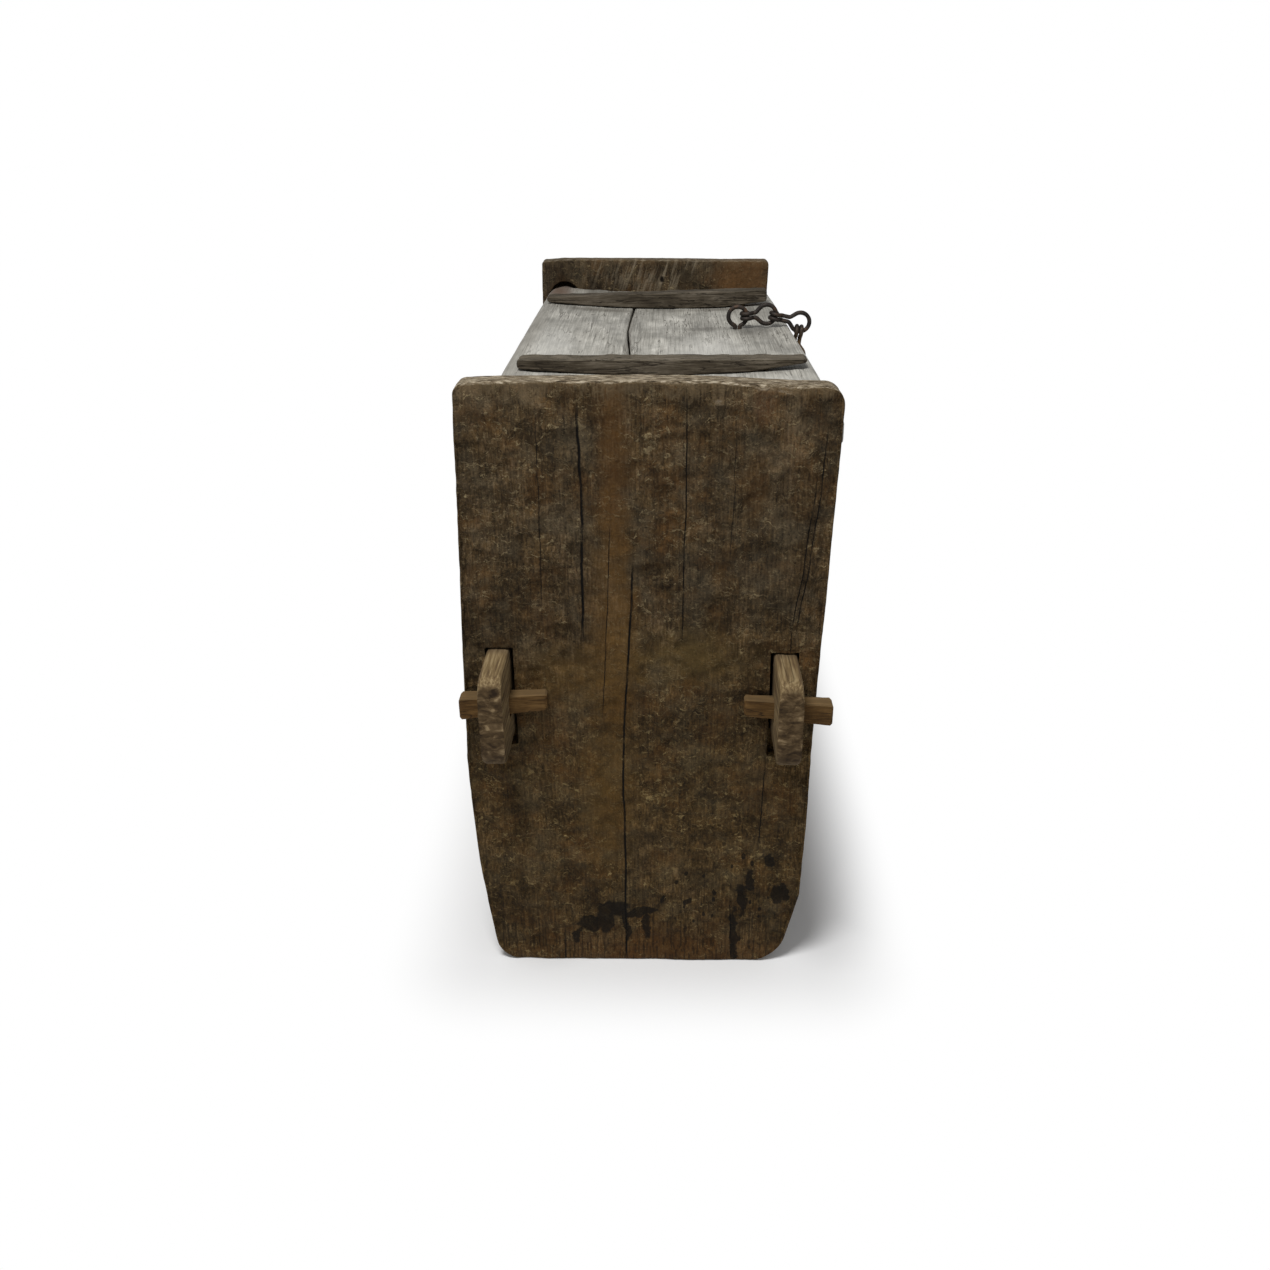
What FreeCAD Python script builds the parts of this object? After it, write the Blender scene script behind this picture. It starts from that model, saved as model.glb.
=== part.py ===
import FreeCAD, Part
import Sketcher
import math
import os

# Wedged plank chest. X runs from the hinge side (-X) to the opening side (+X), Y along the chest, Z up from the floor.
# The origin is on the floor, midway between the two end slabs. All sizes are in millimetres.

SIZES = [
    # the two end slabs
    ("chest_length", 1257.0),  # over the outer faces of the end slabs
    ("slab_thickness", 48.0),
    ("slab_top_back", 245.0),  # from the middle of the chest to the slab's edges, at its top, waist and foot
    ("slab_top_front", 251.0),
    ("slab_waist_back", 264.0),
    ("slab_waist_front", 235.0),
    ("slab_foot_back", 235.5),
    ("slab_foot_front", 225.0),
    ("slab_back_height", 912.0),
    ("slab_front_height", 905.0),
    ("slab_waist_height", 370.0),  # height below which the slab's edges curve inwards
    ("top_back_round", 14.0),
    ("top_front_round", 24.0),
    ("foot_back_round", 34.0),
    ("foot_front_round", 92.0),
    # side boards, three to a side
    ("board_thickness", 34.0),
    ("back_reach", 225.0),  # from the middle of the chest to the outer face of the back boards
    ("front_reach", 208.0),
    ("body_bottom", 150.0),
    ("lower_seam", 370.0),  # height of the joint between the lower and middle boards
    ("upper_seam", 575.0),
    ("groove_depth", 12.0),  # grooves in the slabs that house the ends of the boards
    ("board_fit", 0.5),
    # through tenons on the middle boards and their mortises
    ("tenon_bottom", 403.0),
    ("back_tenon_top", 540.0),
    ("front_tenon_top", 533.0),
    ("tenon_reach", 90.0),  # how far a tenon stands out of the slab
    ("tenon_round", 24.0),
    ("mortise_play", 0.5),
    ("flare_depth", 30.0),  # the mortises are cut wider on the outer side
    ("flare_inner_gap", 4.0),
    ("flare_outer_gap", 1.5),
    ("flare_top_gap", 2.5),
    ("flare_drop_back", 14.0),
    ("flare_drop_front", 34.0),
    # tusk wedges
    ("wedge_length", 122.0),
    ("back_wedge_top", 484.0),
    ("front_wedge_top", 476.0),
    ("wedge_butt_height", 33.5),  # at the thick end
    ("wedge_tip_height", 27.0),
    ("wedge_droop", 4.5),  # how far the top of the thick end lies below the top of the tip
    ("wedge_butt_depth", 29.0),
    ("wedge_tip_depth", 21.0),
    ("wedge_play", 0.3),
    ("wedge_slot_bite", 4.0),  # the slot starts this far inside the slab's outer face
    ("wedge_end_chamfer", 3.0),
    ("near_back_stand_out", 37.0),  # how far each wedge's thick end stands out beyond its tenon
    ("near_front_stand_out", 48.0),
    ("far_back_stand_out", 54.0),
    ("far_front_stand_out", 40.0),
    # floor
    ("floor_height", 166.0),  # underside of the floor boards
    ("floor_thickness", 28.0),
    ("floor_tongue", 10.0),
    ("floor_seam", 2.0),
    # lid
    ("lid_bottom", 812.0),
    ("lid_middle_top", 842.5),
    ("lid_front_top", 850.0),
    ("lid_front_near", 258.5),  # from the middle of the chest to the lid's front edge, at its near and far ends
    ("lid_front_far", 242.0),
    ("lid_front_bow", 3.5),  # how far the front edge bows out between its ends
    ("lid_end_gap", 4.0),
    ("lid_edge_round", 8.0),
    ("lid_seam_place", -42.0),
    ("lid_seam_gap", 2.5),
    ("lid_seat_gap", 0.3),
    # wooden hinge: the lid's rounded rear edge and the pintles at its ends
    ("pintle_place", 200.0),  # from the middle of the chest to the hinge axis
    ("pintle_height", 822.0),
    ("pintle_radius", 30.0),
    ("pintle_length", 30.0),  # inside the slab
    ("rail_shift", 8.0),  # how far the middle of the rounded edge lies behind the hinge axis
    ("rail_radius", 32.5),
    ("rail_swing_gap", 0.7),  # between the back boards and the rounded edge as it swings past them
    ("socket_radius", 31.5),
    ("socket_depth", 33.0),
    ("socket_seat_gap", 0.3),
    ("socket_wear", 5.3),  # how far the socket has worn upwards
    # battens across the lid
    ("batten_width", 44.0),
    ("batten_edge_round", 2.5),
    ("batten_lift_run", 90.0),  # length over which a batten's ends rise off the lid
    ("near_batten_place", 366.0),  # from the near slab's outer face to the batten's near side
    ("near_batten_back_end", -208.0),
    ("near_batten_back_top", 866.0),
    ("near_batten_back_lift", 1.0),  # how far the underside of that end stands off the lid
    ("near_batten_front_end", 243.0),
    ("near_batten_front_top", 865.0),
    ("near_batten_front_lift", 8.0),
    ("far_batten_place", 975.0),
    ("far_batten_back_end", -218.0),
    ("far_batten_back_top", 868.0),
    ("far_batten_back_lift", 1.0),
    ("far_batten_front_end", 228.0),
    ("far_batten_front_top", 879.0),
    ("far_batten_front_lift", 7.0),
    ("peg_radius", 6.0),
    ("peg_grip", 15.0),  # how far the pegs reach above the middle of the lid
    ("peg_from_edge", 62.0),  # from the hinge axis and from the lid's front edge
    ("peg_from_seam", 40.0),
    # chain hasp
    ("rod_radius", 4.0),
    ("rod_gap", 0.4),  # between the two legs of one link
    ("eye_radius", 17.0),  # to the middle of the rod
    ("curl_radius", 9.0),
    ("curl_lead", 6.0),  # bend that leads a leg into its curl
    ("curl_tip_angle", 50.0),  # the curl stops this far short of its own leg
    ("neck_bend", 7.0),
    ("neck_angle", 44.0),
    ("chain_place", 742.0),  # from the near slab's outer face
    ("staple_place", 156.0),  # from the middle of the chest to the lid staple's eye
    ("staple_height", 865.5),
    ("staple_drive", 28.0),  # how far the legs enter the wood
    ("staple_fit", 0.1),
    ("staple_neck_bend", 4.5),
    ("staple_neck_angle", 70.0),
    ("first_arm", 36.0),  # from the bar that a link hangs on to the middle of its own eye
    ("second_arm", 46.5),
    ("third_arm", 44.0),
    ("fourth_arm", 44.0),
    ("first_angle", 3.7),  # direction of each link above the level, from its pivot
    ("second_angle", -13.2),
    ("third_angle", -97.0),
    ("fourth_angle", -90.0),
    ("front_eye_radius", 13.0),
    ("front_staple_drop", 67.0),  # from the lid's underside down to the middle of its eye
    ("front_staple_reach", 38.0),  # how far it stands out of the front boards
    ("front_staple_shift", 9.0),  # beside the chain, so that a lock's bar passes both eyes
]

doc = FreeCAD.newDocument("wedged_plank_chest")
sheet = doc.addObject("Spreadsheet::Sheet", "sizes")
for row, (alias, number) in enumerate(SIZES, start=1):
    sheet.set(f"A{row}", alias.replace("_", " "))
    sheet.set(f"B{row}", str(number))
    sheet.setAlias(f"B{row}", alias)
doc.recompute()

# Places that several pieces share, as expressions on the sheet's sizes
HALF_LENGTH = "(sizes.chest_length / 2)"
INNER_HALF = f"({HALF_LENGTH} - sizes.slab_thickness)"
BACK_OUTER = "(-sizes.back_reach)"
BACK_INNER = "(-sizes.back_reach + sizes.board_thickness)"
FRONT_OUTER = "sizes.front_reach"
FRONT_INNER = "(sizes.front_reach - sizes.board_thickness)"
PINTLE_X = "(-sizes.pintle_place)"
RAIL_X = "(-sizes.pintle_place - sizes.rail_shift)"
BACK_TOP = "(sizes.pintle_height - sizes.rail_radius - sizes.rail_shift - sizes.rail_swing_gap)"
FRONT_TOP = "(sizes.lid_bottom - sizes.lid_seat_gap)"
BOARD_HALF = f"({INNER_HALF} + sizes.groove_depth - sizes.board_fit)"
TENON_HALF = f"({HALF_LENGTH} + sizes.tenon_reach)"
FLOOR_TOP = "(sizes.floor_height + sizes.floor_thickness)"
LID_HALF = f"({INNER_HALF} - sizes.lid_end_gap)"
SEAM_BACK = "(sizes.lid_seam_place - sizes.lid_seam_gap / 2)"
SEAM_FRONT = "(sizes.lid_seam_place + sizes.lid_seam_gap / 2)"
PEG_TOP = "(sizes.lid_middle_top + sizes.peg_grip)"
CHAIN_Y = f"(-{HALF_LENGTH} + sizes.chain_place)"
STAPLE_FOOT = "(sizes.lid_middle_top - sizes.staple_drive)"
LEG_RISE = "(sizes.rod_radius + sizes.rod_gap / 2)"
FRONT_STAPLE_Y = f"({CHAIN_Y} + sizes.front_staple_shift)"
FRONT_STAPLE_Z = "(sizes.lid_bottom - sizes.front_staple_drop)"

# The lid's dished top is one arc: from the crown of the rear rail, through the middle, to the front edge
RAIL_TOP = "(sizes.pintle_height + sizes.rail_radius)"
DISH_RUN = f"(sizes.lid_front_near - {RAIL_X})"
DISH_FALL = f"({RAIL_TOP} - sizes.lid_front_top)"
DISH_CHORD = f"sqrt({DISH_RUN} ^ 2 + {DISH_FALL} ^ 2)"
DISH_SAG = f"(({RAIL_TOP} + sizes.lid_front_top) / 2 - sizes.lid_middle_top)"
DISH_RADIUS = f"(({DISH_CHORD} ^ 2 / 4 + {DISH_SAG} ^ 2) / (2 * {DISH_SAG}))"
DISH_RISE = f"(({DISH_RADIUS} - {DISH_SAG}) / {DISH_CHORD})"
DISH_X = f"(({RAIL_X} + sizes.lid_front_near) / 2 + {DISH_FALL} * {DISH_RISE})"
DISH_Z = f"(({RAIL_TOP} + sizes.lid_front_top) / 2 + {DISH_RUN} * {DISH_RISE})"


def size(expression):
    """Number that an expression on the sheet's sizes gives."""
    return float(sheet.evalExpression(expression))


def dish_height(x):
    """Height of the lid's dished top at x."""
    return f"({DISH_Z} - sqrt({DISH_RADIUS} ^ 2 - ({x} - {DISH_X}) ^ 2))"


def box_corners(left, right, bottom, top):
    return [(left, bottom), (right, bottom), (right, top), (left, top)]


def arc_between(start, end, radius, turn):
    """Arc of less than half a circle from start to end. Its centre is on the left where turn is 1, else on the right."""
    chord = end - start
    rise = math.sqrt(max(radius**2 - chord.Length**2 / 4, 0.0))
    left = FreeCAD.Vector(-chord.y, chord.x, 0).normalize()
    circle = Part.Circle((start + end) * 0.5 + left * rise * turn, FreeCAD.Vector(0, 0, 1), radius)
    first, last = (start, end) if turn == 1 else (end, start)
    return Part.ArcOfCircle(circle, circle.parameter(first), circle.parameter(last))


def new_sketch(body, name, role, offset):
    """Sketch on the body's origin plane of that role, moved along the plane's normal."""
    sketch = body.newObject("Sketcher::SketchObject", name)
    plane = [feature for feature in body.Origin.OriginFeatures if feature.Role == role][0]
    sketch.AttachmentSupport = [(plane, "")]
    sketch.MapMode = "FlatFace"
    sketch.setExpression("AttachmentOffset.Base.z", offset)
    return sketch


def bind(sketch, constraint, expression):
    """Adds a constraint and ties its value to an expression."""
    number = sketch.addConstraint(constraint)
    sketch.setExpression(f"Constraints[{number}]", expression)


def outline(body, name, role, corners, arcs=None, offset="0"):
    """Closed outline through corners, each a pair of expressions. arcs maps the number of a side to its radius and
    turn, as in arc_between; every other side is straight."""
    arcs = arcs or {}
    sketch = new_sketch(body, name, role, offset)
    points = [FreeCAD.Vector(size(x), size(y), 0) for x, y in corners]
    count = len(points)
    for side, start in enumerate(points):
        end = points[(side + 1) % count]
        if side in arcs:
            radius, turn = arcs[side]
            sketch.addGeometry(arc_between(start, end, size(radius), turn))
        else:
            sketch.addGeometry(Part.LineSegment(start, end))
    # an arc that turns right is stored from its end to its start
    starts = [2 if arcs.get(side, ("", 1))[1] == -1 else 1 for side in range(count)]
    for side in range(count):
        after = (side + 1) % count
        sketch.addConstraint(Sketcher.Constraint("Coincident", side, 3 - starts[side], after, starts[after]))
    for side, point in enumerate(points):
        across = Sketcher.Constraint("DistanceX", -1, 1, side, starts[side], point.x)
        bind(sketch, across, corners[side][0])
        along = Sketcher.Constraint("DistanceY", -1, 1, side, starts[side], point.y)
        bind(sketch, along, corners[side][1])
    for side, (radius, turn) in arcs.items():
        bind(sketch, Sketcher.Constraint("Radius", side, size(radius)), radius)
    return sketch


def circles(body, name, role, centres, radius, offset="0"):
    """Sketch of equal circles about centres, each a pair of expressions."""
    sketch = new_sketch(body, name, role, offset)
    for number, (x, y) in enumerate(centres):
        centre = FreeCAD.Vector(size(x), size(y), 0)
        sketch.addGeometry(Part.Circle(centre, FreeCAD.Vector(0, 0, 1), size(radius)))
        bind(sketch, Sketcher.Constraint("DistanceX", -1, 1, number, 3, centre.x), x)
        bind(sketch, Sketcher.Constraint("DistanceY", -1, 1, number, 3, centre.y), y)
        bind(sketch, Sketcher.Constraint("Radius", number, size(radius)), radius)
    return sketch


def pad(body, sketch, length):
    """Material from the sketch along its plane's normal."""
    feature = body.newObject("PartDesign::Pad", f"{sketch.Name}_pad")
    feature.Profile = sketch
    feature.setExpression("Length", length)
    doc.recompute()
    return feature


def pocket(body, sketch, length):
    """Cut from the sketch against its plane's normal."""
    before = body.Shape.Volume
    feature = body.newObject("PartDesign::Pocket", f"{sketch.Name}_cut")
    feature.Profile = sketch
    feature.setExpression("Length", length)
    doc.recompute()
    if body.Shape.Volume >= before:
        raise RuntimeError(f"{feature.Name} cuts nothing")
    return feature


def dress(body, kind, name, measure, amount, chosen):
    """Fillet or Chamfer of the edges of the body's tip for which chosen(edge) holds."""
    base = body.Tip
    edges = [f"Edge{number}" for number, edge in enumerate(base.Shape.Edges, start=1) if chosen(edge)]
    feature = body.newObject(f"PartDesign::{kind}", name)
    feature.Base = (base, edges)
    feature.setExpression(measure, amount)
    doc.recompute()
    return feature


def runs_along(edge, axis, **places):
    """Whether an edge is straight, lies along axis and has its middle at the given x, y or z."""
    if not isinstance(edge.Curve, Part.Line):
        return False
    middle = (edge.Vertexes[0].Point + edge.Vertexes[-1].Point) * 0.5
    if abs(getattr(edge.Curve.Direction, axis)) < 0.999:
        return False
    return all(abs(getattr(middle, name) - place) < 0.01 for name, place in places.items())


def new_body(label):
    body = doc.addObject("PartDesign::Body", label)
    body.Label = label
    return body


def new_box(label, left, right, near, far, bottom, top):
    """Box between expressions for its faces."""
    box = doc.addObject("Part::Box", label)
    box.setExpression("Placement.Base.x", left)
    box.setExpression("Placement.Base.y", near)
    box.setExpression("Placement.Base.z", bottom)
    box.setExpression("Length", f"{right} - {left}")
    box.setExpression("Width", f"{far} - {near}")
    box.setExpression("Height", f"{top} - {bottom}")
    return box


def cut(label, base, tool):
    piece = doc.addObject("Part::Cut", label)
    piece.Base = base
    piece.Tool = tool
    return piece


def build_end_slab():
    """Near end slab, with its outer face on the body's XZ plane and its thickness along +Y."""
    slab = new_body("end_slab_near")
    corners = [
        ("-sizes.slab_foot_back", "0"),
        ("sizes.slab_foot_front", "0"),
        ("sizes.slab_waist_front", "sizes.slab_waist_height"),
        ("sizes.slab_top_front", "sizes.slab_front_height"),
        ("-sizes.slab_top_back", "sizes.slab_back_height"),
        ("-sizes.slab_waist_back", "sizes.slab_waist_height"),
    ]
    # the curved lower part of each edge is upright where it leaves the waist
    edges = {}
    for number, side in ((1, "front"), (5, "back")):
        draw_in = f"(sizes.slab_waist_{side} - sizes.slab_foot_{side})"
        edges[number] = (f"({draw_in} ^ 2 + sizes.slab_waist_height ^ 2) / (2 * {draw_in})", 1)
    face = outline(slab, "slab_outline", "XZ_Plane", corners, edges, offset="-sizes.slab_thickness")
    pad(slab, face, "sizes.slab_thickness")
    for name, corner in (("foot_back", 0), ("foot_front", 1), ("top_front", 3), ("top_back", 4)):
        x, z = (size(place) for place in corners[corner])
        dress(slab, "Fillet", name, "Radius", f"sizes.{name}_round", lambda edge: runs_along(edge, "y", x=x, z=z))

    # grooves in the inner face for the side boards and the floor
    groove_floor = "-(sizes.slab_thickness - sizes.groove_depth)"
    sides = [
        ("back", BACK_OUTER, BACK_INNER, BACK_TOP),
        ("front", FRONT_OUTER, FRONT_INNER, FRONT_TOP),
    ]
    for side, outer, inner, top_end in sides:
        left, right = (outer, inner) if side == "back" else (inner, outer)
        groove = box_corners(
            f"{left} - sizes.board_fit", f"{right} + sizes.board_fit", "sizes.body_bottom", f"{top_end} + sizes.board_fit"
        )
        pocket(slab, outline(slab, f"{side}_groove", "XZ_Plane", groove, offset=groove_floor), "sizes.groove_depth")
    tongue_floor = "-(sizes.slab_thickness - sizes.floor_tongue)"
    floor = box_corners(BACK_INNER, FRONT_INNER, "sizes.floor_height", f"{FLOOR_TOP} + sizes.board_fit")
    pocket(slab, outline(slab, "floor_groove", "XZ_Plane", floor, offset=tongue_floor), "sizes.floor_tongue")

    # through mortises, flared on the outer side
    for side, outer, inner, top_end in sides:
        left, right = (outer, inner) if side == "back" else (inner, outer)
        mortise = box_corners(
            f"{left} - sizes.mortise_play",
            f"{right} + sizes.mortise_play",
            "sizes.tenon_bottom - sizes.mortise_play",
            f"sizes.{side}_tenon_top + sizes.mortise_play",
        )
        pocket(slab, outline(slab, f"{side}_mortise", "XZ_Plane", mortise), "sizes.slab_thickness")
        gaps = ("sizes.flare_outer_gap", "sizes.flare_inner_gap")
        left_gap, right_gap = gaps if side == "back" else gaps[::-1]
        flare = box_corners(
            f"{left} - {left_gap}",
            f"{right} + {right_gap}",
            f"sizes.tenon_bottom - sizes.flare_drop_{side}",
            f"sizes.{side}_tenon_top + sizes.flare_top_gap",
        )
        pocket(slab, outline(slab, f"{side}_flare", "XZ_Plane", flare), "sizes.flare_depth")

    # blind socket for the lid's pintle, worn upwards
    low = "(sizes.pintle_height - sizes.pintle_radius - sizes.socket_seat_gap + sizes.socket_radius)"
    high = f"({low} + sizes.socket_wear)"
    socket = [
        (f"{PINTLE_X} - sizes.socket_radius", low),
        (PINTLE_X, f"{low} - sizes.socket_radius"),
        (f"{PINTLE_X} + sizes.socket_radius", low),
        (f"{PINTLE_X} + sizes.socket_radius", high),
        (PINTLE_X, f"{high} + sizes.socket_radius"),
        (f"{PINTLE_X} - sizes.socket_radius", high),
    ]
    rounds = {side: ("sizes.socket_radius", 1) for side in (0, 1, 3, 4)}
    socket_floor = "-(sizes.slab_thickness - sizes.socket_depth)"
    pocket(slab, outline(slab, "socket", "XZ_Plane", socket, rounds, offset=socket_floor), "sizes.socket_depth")

    slab.setExpression("Placement.Base.y", f"-{HALF_LENGTH}")
    return slab


def mirror_slab(slab):
    """Far end slab, the near one's mirror image across the middle of the chest."""
    twin = doc.addObject("Part::Mirroring", "end_slab_far")
    twin.Source = slab
    twin.Normal = FreeCAD.Vector(0, 1, 0)
    return twin


def wedge_places():
    """The four tusk wedges: name, side and end of the chest (-1 is back or near), and how far they stand out."""
    return [
        ("near_back", -1, -1, "sizes.near_back_stand_out"),
        ("near_front", 1, -1, "sizes.near_front_stand_out"),
        ("far_back", -1, 1, "sizes.far_back_stand_out"),
        ("far_front", 1, 1, "sizes.far_front_stand_out"),
    ]


def build_wedge(name, side, end, stand_out):
    """Tusk wedge, tapered in height and depth from its butt to its tip, driven towards the middle of the chest."""
    wedge = new_body(f"wedge_{name}")
    solid = wedge.newObject("PartDesign::AdditiveWedge", f"{name}_taper")
    # local Y runs from the butt to the tip; local X is the depth, which must point away from the slab
    turned = side * end
    solid.setExpression("Ymin", "0")
    solid.setExpression("Ymax", "sizes.wedge_length")
    solid.setExpression("Zmin", "-sizes.wedge_droop - sizes.wedge_butt_height")
    solid.setExpression("Zmax", "-sizes.wedge_droop")
    solid.setExpression("Z2min", "-sizes.wedge_tip_height")
    solid.setExpression("Z2max", "0")
    solid.setExpression("Xmin", "0" if turned == 1 else "-sizes.wedge_butt_depth")
    solid.setExpression("Xmax", "sizes.wedge_butt_depth" if turned == 1 else "0")
    solid.setExpression("X2min", "0" if turned == 1 else "-sizes.wedge_tip_depth")
    solid.setExpression("X2max", "sizes.wedge_tip_depth" if turned == 1 else "0")
    doc.recompute()
    length = size("sizes.wedge_length")

    def at_an_end(edge):
        return all(min(abs(vertex.Y), abs(vertex.Y - length)) < 0.01 for vertex in edge.Vertexes) and (
            abs(edge.Vertexes[0].Y - edge.Vertexes[1].Y) < 0.01
        )

    dress(wedge, "Chamfer", f"{name}_ends", "Size", "sizes.wedge_end_chamfer", at_an_end)
    wedge.Placement.Rotation = FreeCAD.Rotation(FreeCAD.Vector(0, 0, 1), 90 * side)
    outer, top = (BACK_OUTER, "sizes.back_wedge_top") if side == -1 else (FRONT_OUTER, "sizes.front_wedge_top")
    wedge.setExpression("Placement.Base.x", f"{outer} + ({side}) * {stand_out}")
    wedge.setExpression("Placement.Base.y", f"({end}) * {HALF_LENGTH}")
    wedge.setExpression("Placement.Base.z", top)
    return wedge


def build_middle_board(side):
    """Middle side board: the tenons at its ends pass through the slabs and hold the tusk wedges."""
    label = "back" if side == -1 else "front"
    inner, outer = (BACK_INNER, BACK_OUTER) if side == -1 else (FRONT_INNER, FRONT_OUTER)
    left, right = (outer, inner) if side == -1 else (inner, outer)
    top = f"sizes.{label}_tenon_top"
    board = new_body(f"{label}_board_middle")
    corners = [
        (f"-{BOARD_HALF}", "sizes.lower_seam"),
        (BOARD_HALF, "sizes.lower_seam"),
        (BOARD_HALF, "sizes.tenon_bottom"),
        (TENON_HALF, "sizes.tenon_bottom"),
        (TENON_HALF, top),
        (BOARD_HALF, top),
        (BOARD_HALF, "sizes.upper_seam"),
        (f"-{BOARD_HALF}", "sizes.upper_seam"),
        (f"-{BOARD_HALF}", top),
        (f"-{TENON_HALF}", top),
        (f"-{TENON_HALF}", "sizes.tenon_bottom"),
        (f"-{BOARD_HALF}", "sizes.tenon_bottom"),
    ]
    pad(board, outline(board, f"{label}_middle_face", "YZ_Plane", corners, offset=left), "sizes.board_thickness")
    tip = size(TENON_HALF)
    dress(
        board,
        "Fillet",
        f"{label}_tenon_ends",
        "Radius",
        "sizes.tenon_round",
        lambda edge: runs_along(edge, "x", y=tip) or runs_along(edge, "x", y=-tip),
    )
    for name, wedge_side, end, stand_out in wedge_places():
        if wedge_side != side:
            continue
        # plan of the slot, which follows the wedge's slanted outer face
        butt_x = f"({outer} + ({side}) * {stand_out})"
        slope = "((sizes.wedge_butt_depth - sizes.wedge_tip_depth) / sizes.wedge_length)"

        def outer_wall(x):
            depth = f"(sizes.wedge_butt_depth - {slope} * abs({x} - {butt_x}) + sizes.wedge_play)"
            return f"({end}) * ({HALF_LENGTH} + {depth})"

        inner_wall = f"({end}) * ({HALF_LENGTH} - sizes.wedge_slot_bite)"
        plan = [(left, inner_wall), (right, inner_wall), (right, outer_wall(right)), (left, outer_wall(left))]
        butt_low = "(sizes.wedge_droop + sizes.wedge_butt_height)"
        rise = f"(({butt_low} - sizes.wedge_tip_height) / sizes.wedge_length)"
        height = f"({butt_low} - {rise} * {stand_out} + 2 * sizes.wedge_play)"
        slot = outline(board, f"{name}_slot", "XY_Plane", plan, offset=f"sizes.{label}_wedge_top + sizes.wedge_play")
        pocket(board, slot, height)
    return board


def build_plain_boards():
    """Upper and lower side boards. The lower ones are grooved for the floor."""
    for label, inner, outer, top in (
        ("back", BACK_INNER, BACK_OUTER, BACK_TOP),
        ("front", FRONT_INNER, FRONT_OUTER, FRONT_TOP),
    ):
        left, right = (outer, inner) if label == "back" else (inner, outer)
        ends = (f"-{BOARD_HALF}", BOARD_HALF)
        if label == "back":
            new_box("back_board_upper", left, right, *ends, "sizes.upper_seam", BACK_TOP)
        blank = new_box(f"{label}_lower_blank", left, right, *ends, "sizes.body_bottom", "sizes.lower_seam")
        groove_left = f"({inner} - sizes.floor_tongue)" if label == "back" else inner
        groove_right = inner if label == "back" else f"({inner} + sizes.floor_tongue)"
        groove = new_box(
            f"{label}_floor_groove",
            groove_left,
            groove_right,
            *ends,
            "sizes.floor_height",
            f"({FLOOR_TOP} + sizes.board_fit)",
        )
        cut(f"{label}_board_lower", blank, groove)


def build_floor():
    """Two floor boards, tongued into the lower side boards and the slabs."""
    ends_half = f"({INNER_HALF} + sizes.floor_tongue - sizes.board_fit)"
    middle = f"(({BACK_INNER} + {FRONT_INNER}) / 2)"
    back = f"({BACK_INNER} - sizes.floor_tongue + sizes.board_fit)"
    front = f"({FRONT_INNER} + sizes.floor_tongue - sizes.board_fit)"
    spans = {
        "back": (back, f"({middle} - sizes.floor_seam / 2)"),
        "front": (f"({middle} + sizes.floor_seam / 2)", front),
    }
    for label, (left, right) in spans.items():
        new_box(f"floor_board_{label}", left, right, f"-{ends_half}", ends_half, "sizes.floor_height", FLOOR_TOP)


def peg_spots(planks):
    """Plan positions of the pegs in the named lid planks, two to a plank under each batten."""
    across = {
        "rear": [f"{PINTLE_X} + sizes.peg_from_edge", f"{SEAM_BACK} - sizes.peg_from_seam"],
        "front": [f"{SEAM_FRONT} + sizes.peg_from_seam", "sizes.lid_front_far - sizes.peg_from_edge"],
    }
    along = [f"-{HALF_LENGTH} + sizes.{end}_batten_place + sizes.batten_width / 2" for end in ("near", "far")]
    return {end: [(x, y) for plank in planks for x in across[plank]] for end, y in zip(("near", "far"), along)}


def bore_pegs(body, name, spots):
    """Peg holes, down from the pegs' tops to the underside of the lid."""
    holes = circles(body, name, "XY_Plane", spots, "sizes.peg_radius", offset=PEG_TOP)
    pocket(body, holes, f"{PEG_TOP} - sizes.lid_bottom")


def build_lid_rear_plank():
    """Rear lid plank. Its back edge is a round rail, and a pintle on the hinge axis stands out of each end."""
    plank = new_body("lid_rear_plank")
    drop = "(sizes.pintle_height - sizes.lid_bottom)"
    corners = [
        (SEAM_BACK, "sizes.lid_bottom"),
        (f"{RAIL_X} + sqrt(sizes.rail_radius ^ 2 - {drop} ^ 2)", "sizes.lid_bottom"),
        (f"{RAIL_X} - sizes.rail_radius", "sizes.pintle_height"),
        (RAIL_X, RAIL_TOP),
        (SEAM_BACK, dish_height(SEAM_BACK)),
    ]
    rounds = {1: ("sizes.rail_radius", -1), 2: ("sizes.rail_radius", -1), 3: (DISH_RADIUS, 1)}
    section = outline(plank, "rear_plank_section", "XZ_Plane", corners, rounds, offset=f"-{LID_HALF}")
    pad(plank, section, f"2 * {LID_HALF}")
    reach = f"({LID_HALF} + sizes.lid_end_gap + sizes.pintle_length)"
    axle = circles(
        plank, "pintles", "XZ_Plane", [(PINTLE_X, "sizes.pintle_height")], "sizes.pintle_radius", offset=f"-{reach}"
    )
    pad(plank, axle, f"2 * {reach}")
    spots = peg_spots(["rear"])
    bore_pegs(plank, "rear_plank_pegs", spots["near"] + spots["far"])
    return plank


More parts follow.
